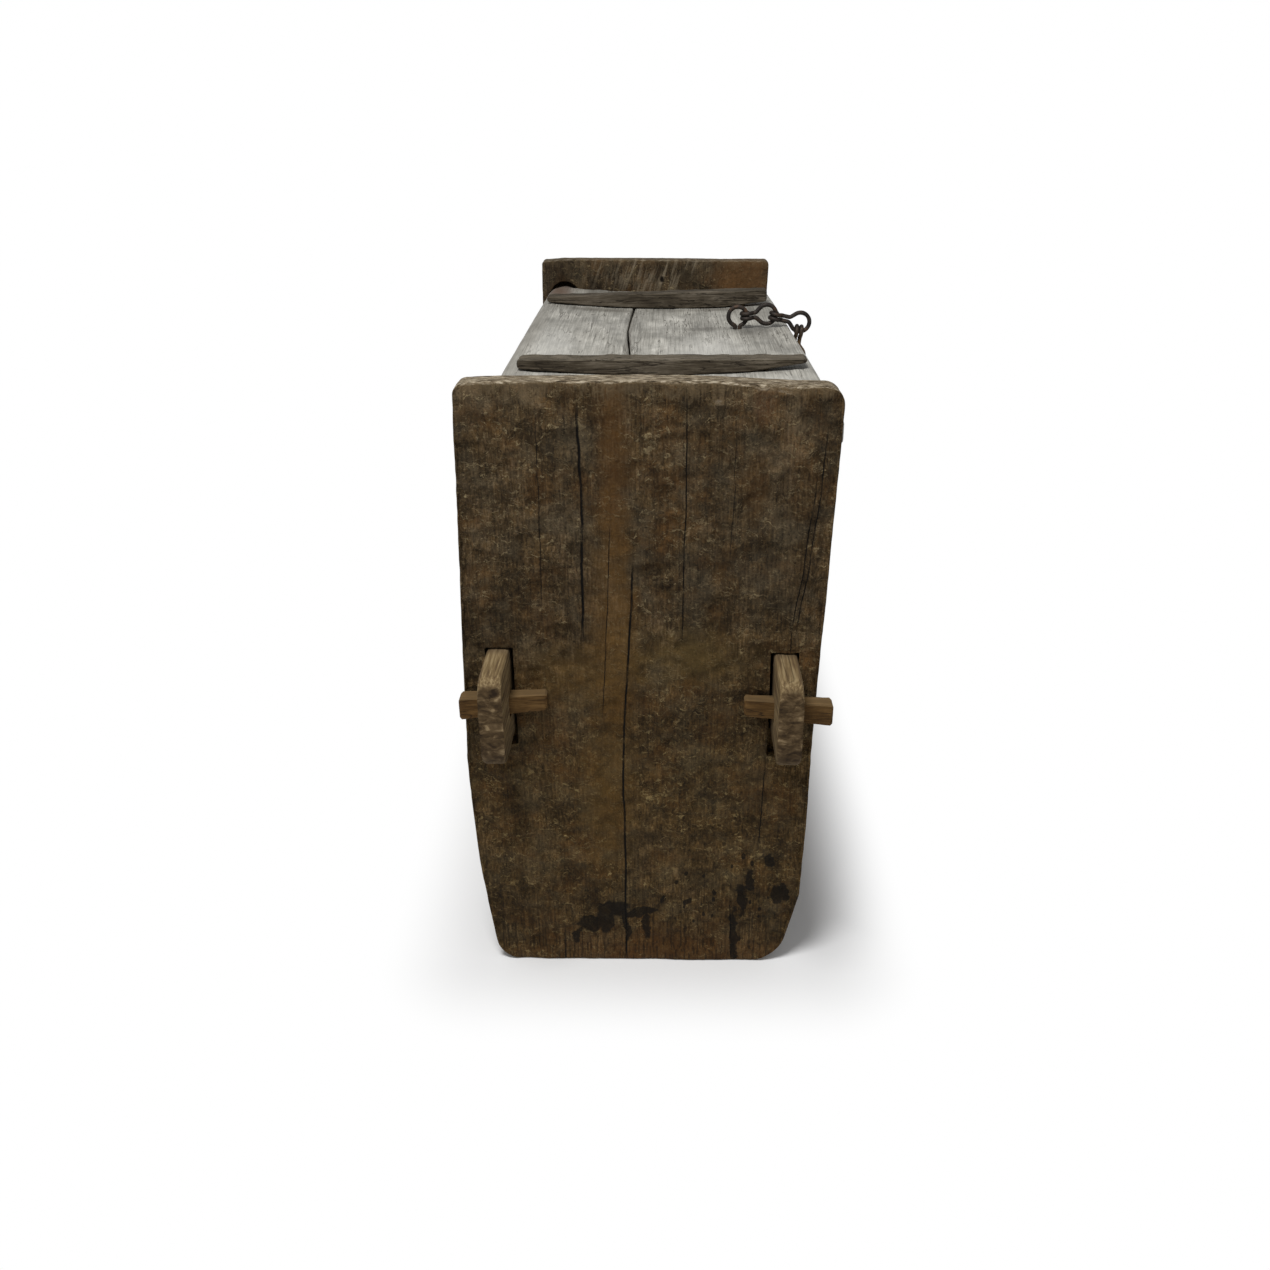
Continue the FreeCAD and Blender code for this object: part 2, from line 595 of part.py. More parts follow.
def build_lid_front_plank():
    """Front lid plank, which rests on the front boards and overhangs them. It narrows towards the far end."""
    plank = new_body("lid_front_plank")
    corners = [
        (SEAM_FRONT, "sizes.lid_bottom"),
        ("sizes.lid_front_near", "sizes.lid_bottom"),
        ("sizes.lid_front_near", "sizes.lid_front_top"),
        (SEAM_FRONT, dish_height(SEAM_FRONT)),
    ]
    section = outline(
        plank, "front_plank_section", "XZ_Plane", corners, {2: (DISH_RADIUS, -1)}, offset=f"-{LID_HALF}"
    )
    pad(plank, section, f"2 * {LID_HALF}")
    taper = [
        ("sizes.lid_front_near", f"-{LID_HALF}"),
        ("sizes.lid_front_near", LID_HALF),
        ("sizes.lid_front_far", LID_HALF),
    ]
    chord = f"sqrt((2 * {LID_HALF}) ^ 2 + (sizes.lid_front_near - sizes.lid_front_far) ^ 2)"
    bow_radius = f"(({chord} ^ 2 / 4 + sizes.lid_front_bow ^ 2) / (2 * sizes.lid_front_bow))"
    waste = outline(plank, "front_taper", "XY_Plane", taper, {2: (bow_radius, -1)}, offset="sizes.lid_front_top")
    pocket(plank, waste, "sizes.lid_front_top - sizes.lid_bottom")
    lowest_front = size("sizes.lid_front_far") - 0.01
    ends = size(LID_HALF)

    def on_front_face(edge):
        reaches = abs(edge.Vertexes[0].Y - edge.Vertexes[-1].Y) > ends
        return reaches and min(vertex.X for vertex in edge.Vertexes) > lowest_front

    dress(plank, "Fillet", "front_edge", "Radius", "sizes.lid_edge_round", on_front_face)
    spots = peg_spots(["front"])
    bore_pegs(plank, "front_plank_pegs", spots["near"] + spots["far"])
    around = "(sizes.rod_radius + sizes.staple_fit)"
    legs = box_corners(
        f"sizes.staple_place - {LEG_RISE} - {around}",
        f"sizes.staple_place + {LEG_RISE} + {around}",
        f"{CHAIN_Y} - {around}",
        f"{CHAIN_Y} + {around}",
    )
    hole = outline(plank, "lid_staple_hole", "XY_Plane", legs, offset="sizes.staple_height")
    pocket(plank, hole, f"sizes.staple_height - {STAPLE_FOOT}")
    return plank


def build_batten(end):
    """Cross batten. Its underside fits the dished lid and stands off it towards the ends."""
    batten = new_body(f"lid_batten_{end}")
    back, front = f"sizes.{end}_batten_back_end", f"sizes.{end}_batten_front_end"
    back_foot, front_foot = f"({back} + sizes.batten_lift_run)", f"({front} - sizes.batten_lift_run)"
    corners = [
        (back, f"{dish_height(back)} + sizes.{end}_batten_back_lift"),
        (back_foot, dish_height(back_foot)),
        (front_foot, dish_height(front_foot)),
        (front, f"{dish_height(front)} + sizes.{end}_batten_front_lift"),
        (front, f"sizes.{end}_batten_front_top"),
        (back, f"sizes.{end}_batten_back_top"),
    ]
    far_side = f"(-{HALF_LENGTH} + sizes.{end}_batten_place + sizes.batten_width)"
    section = outline(batten, f"{end}_section", "XZ_Plane", corners, {1: (DISH_RADIUS, 1)}, offset=f"-{far_side}")
    pad(batten, section, "sizes.batten_width")
    back_x, back_z = size(back), size(f"sizes.{end}_batten_back_top")
    slope = (size(f"sizes.{end}_batten_front_top") - back_z) / (size(front) - back_x)

    def on_top(edge):
        return all(abs(vertex.Z - back_z - slope * (vertex.X - back_x)) < 0.01 for vertex in edge.Vertexes)

    dress(batten, "Fillet", f"{end}_batten_edges", "Radius", "sizes.batten_edge_round", on_top)
    bore_pegs(batten, f"{end}_batten_pegs", peg_spots(["rear", "front"])[end])
    return batten


def build_pegs():
    """All the pegs that hold the battens, driven from below, as one group of separate solids."""
    pegs = []
    spots = peg_spots(["rear", "front"])
    for number, (x, y) in enumerate(spots["near"] + spots["far"], start=1):
        peg = doc.addObject("Part::Cylinder", f"peg_{number}")
        peg.setExpression("Radius", "sizes.peg_radius")
        peg.setExpression("Height", f"{PEG_TOP} - sizes.lid_bottom")
        peg.setExpression("Placement.Base.x", x)
        peg.setExpression("Placement.Base.y", y)
        peg.setExpression("Placement.Base.z", "sizes.lid_bottom")
        pegs.append(peg)
    group = doc.addObject("Part::Compound", "batten_pegs")
    group.Links = pegs
    return group


def rod(path, radius):
    """Round rod along a path of edges that run on smoothly from each other."""
    wire = Part.Wire(path)
    start, heading = path[0].valueAt(path[0].FirstParameter), path[0].tangentAt(path[0].FirstParameter)
    section = Part.Wire([Part.makeCircle(radius, start, heading)])
    return wire.makePipeShell([section], True, False)


def arc_edge(centre, radius, first, middle, last, x_axis, y_axis):
    """Arc about centre in the plane of two unit axes, through three angles in degrees."""
    points = [
        centre + (x_axis * math.cos(math.radians(angle)) + y_axis * math.sin(math.radians(angle))) * radius
        for angle in (first, middle, last)
    ]
    return Part.Arc(*points).toShape()


def neck(bend, angle, sign):
    """Where a leg along the X axis ends, the bend and shoulder that lead it into the eye about the origin, and where
    they meet the eye. sign is 1 for the upper leg, -1 for the lower."""
    east, up = FreeCAD.Vector(1, 0, 0), FreeCAD.Vector(0, 0, sign)
    slant = east * math.cos(math.radians(angle)) + up * math.sin(math.radians(angle))
    touch = (up * math.cos(math.radians(angle)) - east * math.sin(math.radians(angle))) * size("sizes.eye_radius")
    climb = touch * up - size(LEG_RISE)
    corner = touch - slant * (climb / math.sin(math.radians(angle)))
    tangent = bend * math.tan(math.radians(angle / 2))
    leg_end = corner - east * tangent
    bend_arc = arc_edge(leg_end + up * bend, bend, -90, -90 + angle / 2, -90 + angle, east, up)
    shoulder = Part.LineSegment(corner + slant * tangent, touch).toShape()
    return leg_end, [bend_arc, shoulder], touch


def half_link(arm, sign):
    """Path of half a link, from the tip of its curl to the eye. sign is 1 for the upper half, -1 for the lower.
    The link's own eye is about the origin, and the bar that it hangs on crosses the X axis at -arm."""
    east, north, up = FreeCAD.Vector(1, 0, 0), FreeCAD.Vector(0, 1, 0), FreeCAD.Vector(0, 0, sign)
    eye, curl, lead = size("sizes.eye_radius"), size("sizes.curl_radius"), size("sizes.curl_lead")
    rise = size(LEG_RISE)

    # the bar is part of a round eye, so at the leg's height it lies a little further off
    curl_centre = east * (-arm - eye + math.sqrt(eye**2 - rise**2)) + up * rise
    lead_run = math.sqrt((curl + lead) ** 2 - lead**2)
    lead_angle = math.degrees(math.atan2(lead, lead_run))
    lead_centre = curl_centre + east * lead_run - north * lead
    tip_angle = size("sizes.curl_tip_angle")
    curl_arc = arc_edge(
        curl_centre, curl, tip_angle, (tip_angle + 360 - lead_angle) / 2, 360 - lead_angle, east, north
    )
    lead_arc = arc_edge(lead_centre, lead, 180 - lead_angle, 135 - lead_angle / 2, 90, east, north)

    leg_end, bends, touch = neck(size("sizes.neck_bend"), size("sizes.neck_angle"), sign)
    leg = Part.LineSegment(lead_centre + north * lead, leg_end).toShape()
    return [curl_arc, lead_arc, leg, *bends], touch


def eye_between(upper, lower):
    """Rod of two halves, each a path and the point where it meets the eye, joined by the eye about the origin."""
    eye = Part.Arc(upper[1], FreeCAD.Vector(size("sizes.eye_radius"), 0, 0), lower[1]).toShape()
    path = [*upper[0], eye, *(turned_back(edge) for edge in reversed(lower[0]))]
    return rod(path, size("sizes.rod_radius"))


def link_shape(arm):
    """Chain link of one bent rod: an eye, two legs side by side, and a curl at the end of each leg."""
    return eye_between(half_link(arm, 1), half_link(arm, -1))


def turned_back(edge):
    """The same edge, run from its other end."""
    middle = edge.valueAt((edge.FirstParameter + edge.LastParameter) / 2)
    first, last = edge.valueAt(edge.LastParameter), edge.valueAt(edge.FirstParameter)
    if isinstance(edge.Curve, Part.Line):
        return Part.LineSegment(first, last).toShape()
    return Part.Arc(first, middle, last).toShape()


def build_chain():
    """The four links, each turned about the middle of the eye that it hangs in."""
    place = FreeCAD.Vector(size("sizes.staple_place"), size(CHAIN_Y), size("sizes.staple_height"))
    for number, name in enumerate(("first", "second", "third", "fourth"), start=1):
        arm = size(f"sizes.{name}_arm")
        angle = size(f"sizes.{name}_angle")
        turn = FreeCAD.Rotation(FreeCAD.Vector(0, -1, 0), angle)
        place = place + turn.multVec(FreeCAD.Vector(arm + size("sizes.eye_radius"), 0, 0))
        link = doc.addObject("Part::Feature", f"chain_link_{number}")
        link.Shape = link_shape(arm)
        link.Placement = FreeCAD.Placement(place, turn)


def build_lid_staple():
    """Round eye that stands on the lid, with its two legs driven through the plank side by side."""
    halves = []
    for sign in (1, -1):
        leg_end, bends, touch = neck(size("sizes.staple_neck_bend"), size("sizes.staple_neck_angle"), sign)
        foot = FreeCAD.Vector(size(f"{STAPLE_FOOT} - sizes.staple_height"), 0, leg_end.z)
        halves.append(([Part.LineSegment(foot, leg_end).toShape(), *bends], touch))
    staple = doc.addObject("Part::Feature", "lid_staple")
    staple.Shape = eye_between(*halves)
    place = FreeCAD.Vector(size("sizes.staple_place"), size(CHAIN_Y), size("sizes.staple_height"))
    staple.Placement = FreeCAD.Placement(place, FreeCAD.Rotation(FreeCAD.Vector(0, -1, 0), 90))


def build_front_staple():
    """Staple in the front of the chest, its eye level with the last link and just beside it."""
    eye = size("sizes.front_eye_radius")
    stand_off = "(sizes.front_staple_reach - sizes.rod_radius - sizes.front_eye_radius)"
    left, right, crown = FreeCAD.Vector(-eye, 0, 0), FreeCAD.Vector(eye, 0, 0), FreeCAD.Vector(0, 0, eye)
    foot = FreeCAD.Vector(0, 0, -size(f"{stand_off} + sizes.staple_drive"))
    path = [
        Part.LineSegment(left + foot, left).toShape(),
        Part.Arc(left, crown, right).toShape(),
        Part.LineSegment(right, right + foot).toShape(),
    ]
    staple = doc.addObject("Part::Feature", "front_staple")
    staple.Shape = rod(path, size("sizes.rod_radius"))
    place = FreeCAD.Vector(size(f"{FRONT_OUTER} + {stand_off}"), size(FRONT_STAPLE_Y), size(FRONT_STAPLE_Z))
    staple.Placement = FreeCAD.Placement(place, FreeCAD.Rotation(FreeCAD.Vector(0, 1, 0), 90))


def build_front_upper_board():
    """Upper front board, bored for the front staple's legs."""
    blank = new_box(
        "front_upper_blank", FRONT_INNER, FRONT_OUTER, f"-{BOARD_HALF}", BOARD_HALF, "sizes.upper_seam", FRONT_TOP
    )
    bores = []
    for name, sign in (("low", "-"), ("high", "+")):
        bore = doc.addObject("Part::Cylinder", f"front_staple_bore_{name}")
        bore.setExpression("Radius", "sizes.rod_radius + sizes.staple_fit")
        bore.setExpression("Height", "sizes.staple_drive")
        bore.setExpression("Placement.Base.x", f"{FRONT_OUTER} - sizes.staple_drive")
        bore.setExpression("Placement.Base.y", FRONT_STAPLE_Y)
        bore.setExpression("Placement.Base.z", f"{FRONT_STAPLE_Z} {sign} sizes.front_eye_radius")
        bore.Placement.Rotation = FreeCAD.Rotation(FreeCAD.Vector(0, 1, 0), 90)
        bores.append(bore)
    both = doc.addObject("Part::MultiFuse", "front_staple_bores")
    both.Shapes = bores
    cut("front_board_upper", blank, both)


NODES = [
    "end_slab_near",
    "end_slab_far",
    "back_board_lower",
    "back_board_middle",
    "back_board_upper",
    "front_board_lower",
    "front_board_middle",
    "front_board_upper",
    "floor_board_back",
    "floor_board_front",
    "wedge_near_back",
    "wedge_near_front",
    "wedge_far_back",
    "wedge_far_front",
    "lid_rear_plank",
    "lid_front_plank",
    "lid_batten_near",
    "lid_batten_far",
    "batten_pegs",
    "lid_staple",
    "chain_link_1",
    "chain_link_2",
    "chain_link_3",
    "chain_link_4",
    "front_staple",
]

mirror_slab(build_end_slab())
build_plain_boards()
build_front_upper_board()
for board_side in (-1, 1):
    build_middle_board(board_side)
build_floor()
for wedge_place in wedge_places():
    build_wedge(*wedge_place)
build_lid_rear_plank()
build_lid_front_plank()
for lid_end in ("near", "far"):
    build_batten(lid_end)
build_pegs()
build_lid_staple()
build_chain()
build_front_staple()
doc.recompute()

for item in doc.Objects:
    if "Invalid" in item.State or "Error" in item.State:
        raise RuntimeError(f"{item.Label} failed: {item.State}")
pieces = {label: doc.getObjectsByLabel(label)[0] for label in NODES}
for label, piece in pieces.items():
    if piece.Shape.isNull() or not piece.Shape.isValid():
        raise RuntimeError(f"{label} has no valid shape")

os.makedirs("parts", exist_ok=True)
for label, piece in pieces.items():
    piece.Shape.exportStep(f"parts/{label}.step")
    print(f"{label}: {len(piece.Shape.Solids)} solid(s), {piece.Shape.Volume / 1e6:.3f} litres")
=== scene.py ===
import math
from functools import partial, reduce

import bmesh
import bpy
import numpy as np
from mathutils import Matrix


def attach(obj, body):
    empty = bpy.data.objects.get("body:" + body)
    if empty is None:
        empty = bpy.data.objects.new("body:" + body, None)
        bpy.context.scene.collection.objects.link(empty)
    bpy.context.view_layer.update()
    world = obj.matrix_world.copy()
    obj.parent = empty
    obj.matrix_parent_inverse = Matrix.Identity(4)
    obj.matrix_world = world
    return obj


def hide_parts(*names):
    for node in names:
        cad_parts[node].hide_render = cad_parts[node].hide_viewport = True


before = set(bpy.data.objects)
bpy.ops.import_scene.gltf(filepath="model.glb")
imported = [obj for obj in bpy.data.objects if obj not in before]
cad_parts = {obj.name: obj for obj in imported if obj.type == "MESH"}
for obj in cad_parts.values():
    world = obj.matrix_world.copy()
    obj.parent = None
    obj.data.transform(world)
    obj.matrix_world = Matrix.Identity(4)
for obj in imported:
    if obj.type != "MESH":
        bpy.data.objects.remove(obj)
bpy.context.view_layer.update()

# --------------------
# The near end slab: one thick plank of a split log, stood on end and dressed with an adze. It is dark with
# age and smoke, cracked along the grain and worn pale along its top. The side boards' tenons pass through
# its two mortises, and the lid's pintle turns in a blind socket on the inner face.

SLAB_OUTER = 0.6285  # from the middle of the chest to the outer face
SLAB_INNER = 0.5805
SLAB_TOP = 0.912
WAIST = 0.37
FOOT_TRIM = 0.128  # below this height the near slab's front edge is trimmed
FOOT_WEAR = 0.003
SLAB_GRID = 0.0035

link = bpy.context.collection.objects.link


def rough(points, size, seed):
    """Smooth random height from -1 to 1 at each point. Every corner of a lattice of the given pitch has a
    random value; between corners the values blend by three t squared minus two t cubed."""
    spot = points / np.array(size) + 1000
    cell = np.floor(spot)
    t = spot - cell
    t = t * t * (3 - 2 * t)
    total = 0.0
    for corner in range(8):
        step = np.array([corner & 1, corner >> 1 & 1, corner >> 2 & 1])
        weight = np.where(step == 1, t, 1 - t).prod(axis=-1)
        value = np.sin((cell + step) @ np.array([127.1, 311.7, 74.7]) + seed * 53.3) * 43758.5453
        total = total + weight * (value - np.floor(value))
    return 2 * total - 1


def wear(amount, points, size, seed):
    """Depth of random wear at each point, from 0 to twice the amount."""
    return amount * (1 + rough(points, size, seed))


def rounded_down(distance, radius):
    """How far a rounded edge of that radius drops at a distance from the edge: a quarter circle."""
    into = np.clip(radius - distance, 0, radius)
    return radius - np.sqrt(radius**2 - into**2)


def scoops(across, along, pitch_across, pitch_along, seed):
    """Depth of adze cuts, 1 in the middle of a cut and 0 on the ridges: one minus 2.5 times the squared
    distance to the nearest cut's middle, where each cell of the pitch has one cut at a random place."""
    u, v = across / pitch_across, along / pitch_along
    nearest = np.full(np.broadcast(u, v).shape, 9.0)
    for step in range(9):
        cell_u, cell_v = np.floor(u) + step % 3 - 1, np.floor(v) + step // 3 - 1
        random_u = np.abs(np.sin(cell_u * 127.1 + cell_v * 311.7 + seed) * 43758.5453) % 1
        random_v = np.abs(np.sin(cell_u * 269.5 + cell_v * 183.3 + seed) * 43758.5453) % 1
        nearest = np.minimum(nearest, (u - cell_u - random_u) ** 2 + (v - cell_v - random_v) ** 2)
    return 1 - np.minimum(2.5 * nearest, 1)


def rounded_section(long_steps, short_steps, arris_steps=4):
    """Ring round a unit rectangle with rounded corners: for each point its place on the sharp-cornered
    core, from -1 to 1, and its outward direction. Point k lies straight across from point n - 1 - k."""
    turn = np.linspace(0, math.pi / 2, arris_steps + 1)
    up = (np.arange(short_steps) + 0.5) / short_steps
    run = np.linspace(-1, 1, long_steps + 1)[1:-1]
    # for each quarter in turn: left side, left arris, bottom, right arris and right side
    core_x = [-1 + 0 * up, -1 + 0 * turn, run, 1 + 0 * turn, 1 + 0 * up]
    core_y = [-up, -1 + 0 * turn, -1 + 0 * run, -1 + 0 * turn, -up[::-1]]
    out_x = [-1 + 0 * up, -np.cos(turn), 0 * run, np.sin(turn), 1 + 0 * up]
    out_y = [0 * up, -np.sin(turn), -1 + 0 * run, -np.cos(turn), 0 * up]
    pairs = ((core_x, core_y), (out_x, out_y))
    lower = [np.stack([np.concatenate(part) for part in pair], 1) for pair in pairs]
    return [np.concatenate([half, half[::-1] * (1, -1)]) for half in lower]


def beam(axis, stations, centre, half, arris, section, depth=None):
    """Rings of a squared timber along an axis (0, 1 or 2). centre and half hold, for each station, the
    middle and half size of its rounded-rectangle section in the other two directions. depth(points, out) is
    how far each point of the surface is cut back."""
    core, out = section
    centre = np.broadcast_to(centre, (len(stations), 2))[:, None, :]
    half = np.broadcast_to(half, (len(stations), 2))[:, None, :]
    arris = np.minimum(np.broadcast_to(arris, len(stations))[:, None, None], half.min(axis=-1, keepdims=True))
    flat = centre + core * (half - arris) + out * arris
    others = [n for n in range(3) if n != axis]
    rings = np.empty(flat.shape[:2] + (3,))
    rings[..., axis] = stations[:, None]
    rings[..., others] = flat
    if depth is not None:
        directions = np.zeros_like(rings)
        directions[..., others] = out
        rings -= directions * depth(rings, directions)[..., None]
    return rings


def solid(name, shells):
    """Closed mesh over one or more shells of rings. Each shell's first and last rings are closed by strips
    from point k to point n - 1 - k, and its faces point outwards."""
    points, faces, start = [], [], 0
    for rings in shells:
        rows, count = rings.shape[:2]
        row, k = np.mgrid[0 : rows - 1, 0:count]
        here, after = row * count, (k + 1) % count
        sides = np.stack([here + k, here + after, here + count + after, here + count + k], -1)
        k = np.arange(count // 2 - 1)
        cap = np.stack([k, count - 1 - k, count - 2 - k, k + 1], -1)
        faces.append(start + np.concatenate([sides.reshape(-1, 4), cap, (rows - 1) * count + cap[:, ::-1]]))
        points.append(rings.reshape(-1, 3))
        start += rows * count
    mesh = bpy.data.meshes.new(name)
    mesh.from_pydata(np.concatenate(points).tolist(), [], np.concatenate(faces).tolist())
    built = bmesh.new()
    built.from_mesh(mesh)
    bmesh.ops.recalc_face_normals(built, faces=built.faces)
    built.to_mesh(mesh)
    built.free()
    return mesh


def place(part, look, shells, body, finish, carve=None, crease=40):
    """Makes the piece part_look of shells of rings, on a CAD body and in place of the CAD node part. carve
    is more shells, to be cut out of it, and crease the angle in degrees past which an edge stays sharp."""
    piece = bpy.data.objects.new(f"{part}_{look}", solid(part, shells))
    link(piece)
    if carve:
        tool = bpy.data.objects.new("cutter", solid("cutter", carve))
        link(tool)
        cut = piece.modifiers.new("cut", "BOOLEAN")
        cut.operation, cut.solver, cut.object = "DIFFERENCE", "EXACT", tool
        carved = bpy.data.meshes.new_from_object(piece.evaluated_get(bpy.context.evaluated_depsgraph_get()))
        piece.modifiers.clear()
        piece.data = carved
        bpy.data.objects.remove(tool)
    piece.data.materials.clear()
    piece.data.materials.append(finish)
    piece.data.shade_smooth()
    piece.data.set_sharp_from_angle(angle=math.radians(crease))
    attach(piece, body)
    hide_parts(part)


def linear(code):
    """Linear red, green, blue and alpha of a hex colour."""
    parts = [int(code[n : n + 2], 16) / 255 for n in (0, 2, 4)]
    return [p / 12.92 if p <= 0.04045 else ((p + 0.055) / 1.055) ** 2.4 for p in parts] + [1.0]


def node(tree, kind, *links, stops=None, **settings):
    """Adds a shader node, whose kind may name an operation after a colon, and gives its outputs. links are
    values or other nodes' outputs, of which the first counts, for its first sockets. A setting with a
    capital is a socket, with _ for a space, and any other is a property. stops are a colour ramp's places
    and colours or a curve's points."""
    kind, _, operation = kind.partition(":")
    made = tree.nodes.new("ShaderNode" + kind)
    if operation:
        made.operation = operation
    sockets = dict(enumerate(links))
    for name, value in settings.items():
        if name[0].isupper():
            sockets[name.replace("_", " ")] = value
        else:
            setattr(made, name, value)
    if stops and kind == "ValToRGB":
        while len(made.color_ramp.elements) < len(stops):
            made.color_ramp.elements.new(1.0)
        for element, (position, colour) in zip(made.color_ramp.elements, stops):
            element.position, element.color = position, linear(colour)
    elif stops:
        curve = made.mapping.curves[0]
        while len(curve.points) < len(stops):
            curve.points.new(0.5, 0.5)
        for point, location in zip(curve.points, stops):
            point.location = location
        made.mapping.update()
    for socket, value in sockets.items():
        if isinstance(value, bpy.types.bpy_prop_collection):
            value = value[0]
        if isinstance(value, bpy.types.NodeSocket):
            tree.links.new(value, made.inputs[socket])
        else:
            made.inputs[socket].default_value = value
    return made.outputs


def bare(name):
    """New material with no nodes: it, the function that adds a node to it, and the place of each point on a
    piece."""
    material = bpy.data.materials.new(name)
    material.use_nodes = True
    material.node_tree.nodes.clear()
    add = partial(node, material.node_tree)
    return material, add, add("TexCoord")["Object"]


def drawn(add, where, pitch, detail, roughness=0.5):
    """Noise drawn out along the grain. pitch is how many of its waves go into a metre along X, Y and Z."""
    where = add("VectorMath:MULTIPLY", where, pitch)
    return add("TexNoise", where, Scale=1, Detail=detail, Roughness=roughness)


def timber(name, tones, run, fibre, patch, contrast=0.5):
    """Wood finish with its fibres along axis run. tones are its dark, middle and pale colours, fibre the
    width and length of the fibres and patch the width of the cloudy patches, in metres. Gives the material,
    what adds to it, the place of each point, its colour and the height of its fibres."""
    material, add, where = bare(name)
    pitch = [1 / fibre[0]] * 3
    pitch[run] = 1 / fibre[1]
    fibres = drawn(add, where, pitch, 7, 0.65)
    spans = [1 / patch] * 3
    spans[run] = 0.35 / patch
    both = add("MixRGB", contrast, fibres, drawn(add, where, spans, 4, 0.6))
    colour = add("ValToRGB", both, stops=list(zip((0.36, 0.5, 0.64), tones)))
    return material, add, where, colour, fibres


def dress(material, colour, height, relief, roughness=0.8, sheen=0.15, cuts=None, depth=0.0):
    """Closes a finish: a surface of that colour, with its height as relief in metres. cuts is a mask of
    cracks, which lie depth times the relief below the rest."""
    add = partial(node, material.node_tree)
    if cuts:
        height = add("Math:MULTIPLY_ADD", cuts, -depth, height)
    bump = add("Bump", Height=height, Distance=relief, Strength=1)
    look = {"Base_Color": colour, "Roughness": roughness, "Normal": bump, "Specular_IOR_Level": sheen}
    add("OutputMaterial", add("BsdfPrincipled", **look))
    return material


def mark(add, colour, tint, amount, *masks):
    """Colour with a tint laid over it by that amount where all the masks are 1."""
    mask = overlap(add, *masks)
    if amount < 1:
        mask = add("Math:MULTIPLY", mask, amount)
    return add("MixRGB", mask, colour, linear(tint))


def overlap(add, *masks):
    """Mask that is 1 where all of them are: their product."""
    return reduce(partial(add, "Math:MULTIPLY"), masks)


def union(add, *masks):
    """Mask that is 1 where any of them is: the largest."""
    return reduce(partial(add, "Math:MAXIMUM"), masks)


def shaded(add, colour, value, low, high, dark, bright):
    """Colour multiplied by dark where a value is low and by bright where it is high."""
    shade = add("MapRange", value, low, high, dark, bright)
    return add("MixRGB", 1, colour, shade, blend_type="MULTIPLY")


def facing(add):
    """The three parts of the direction that the surface faces, by their names X, Y and Z."""
    return add("SeparateXYZ", add("NewGeometry")["Normal"])


def crack(add, where, stops, width, sway, top, bottom):
    """Mask of a crack that runs up a slab. stops are its height and place across, width is half its width
    and sway how far it wanders, in metres. It thins out towards its top and bottom, and fibres bridge it
    here and there."""
    xyz = add("SeparateXYZ", where)
    path = add("FloatCurve", Value=xyz["Z"], stops=[(z, x + 0.5) for z, x in sorted(stops)])
    waves = drawn(add, where, (3, 3, 14), 6, 0.62)
    off = add("Math:SUBTRACT", xyz["X"], path)
    swing = add("Math:MULTIPLY_ADD", waves, 2 * sway, 0.5 - sway)
    gap = add("Math:ABSOLUTE", add("Math:ADD", off, swing))
    line = add("MapRange", gap, width * 0.35, width, 1, 0, interpolation_type="SMOOTHSTEP")
    upper = add("MapRange", xyz["Z"], top, top - 0.05)
    lower = add("MapRange", xyz["Z"], bottom, bottom + 0.03)
    bridged = add("MapRange", drawn(add, where, (90, 90, 22), 5, 0.6), 0.34, 0.48, 0.3)
    return overlap(add, line, bridged, overlap(add, upper, lower))


def region(add, where, centre, reach, edge=0.5, ragged=0.5, grain=0.03):
    """Mask that is 1 inside a soft ragged ellipsoid about a point and falls to 0 at its reach in metres."""
    off = add("VectorMath:SUBTRACT", where, centre)
    scaled = add("VectorMath:MULTIPLY", off, [1 / r for r in reach])
    length = add("VectorMath:LENGTH", scaled)["Value"]
    torn = add("TexNoise", where, Scale=1 / grain, Detail=5, Roughness=0.6)
    far = add("Math:MULTIPLY_ADD", torn, ragged, length)
    rim = 1 + ragged / 2
    return add("MapRange", far, rim, rim - edge, interpolation_type="SMOOTHSTEP")


def tinted_in_patches(add, where, colour, spots, *softness):
    """Colour with ragged tinted patches, each a stain, a painted shade or a painted highlight. spots has the
    centre, reach, tint and amount of each, and softness goes to region."""
    for centre, reach, tint, amount in spots:
        colour = mark(add, colour, tint, amount, region(add, where, centre, reach, *softness))
    return colour


def slab_edges(z, back_top=0.245, top_rounds=(0.014, 0.024), foot_round=0.092, foot_slope=0.0):
    """Back and front edge of a slab at height z: straight lines above the waist, wide arcs below it that
    start upright, and rounded corners at top and foot. foot_slope is how steeply the front edge is trimmed
    at the foot."""
    above = np.clip((z - WAIST) / (SLAB_TOP - WAIST), 0, 1)
    below = np.clip(WAIST - z, 0, None)
    edges = []
    for waist, top, foot, top_round, low_round in (
        (0.264, back_top, 0.2355, top_rounds[0], 0.034),
        (0.235, 0.251, 0.225, top_rounds[1], foot_round),
    ):
        draw_in = waist - foot
        radius = (draw_in**2 + WAIST**2) / (2 * draw_in)
        edge = waist + (top - waist) * above - radius + np.sqrt(radius**2 - below**2)
        edges.append(edge - rounded_down(SLAB_TOP - z, top_round) - rounded_down(z, low_round))
    return -edges[0], edges[1] - foot_slope * np.clip(FOOT_TRIM - z, 0, None)


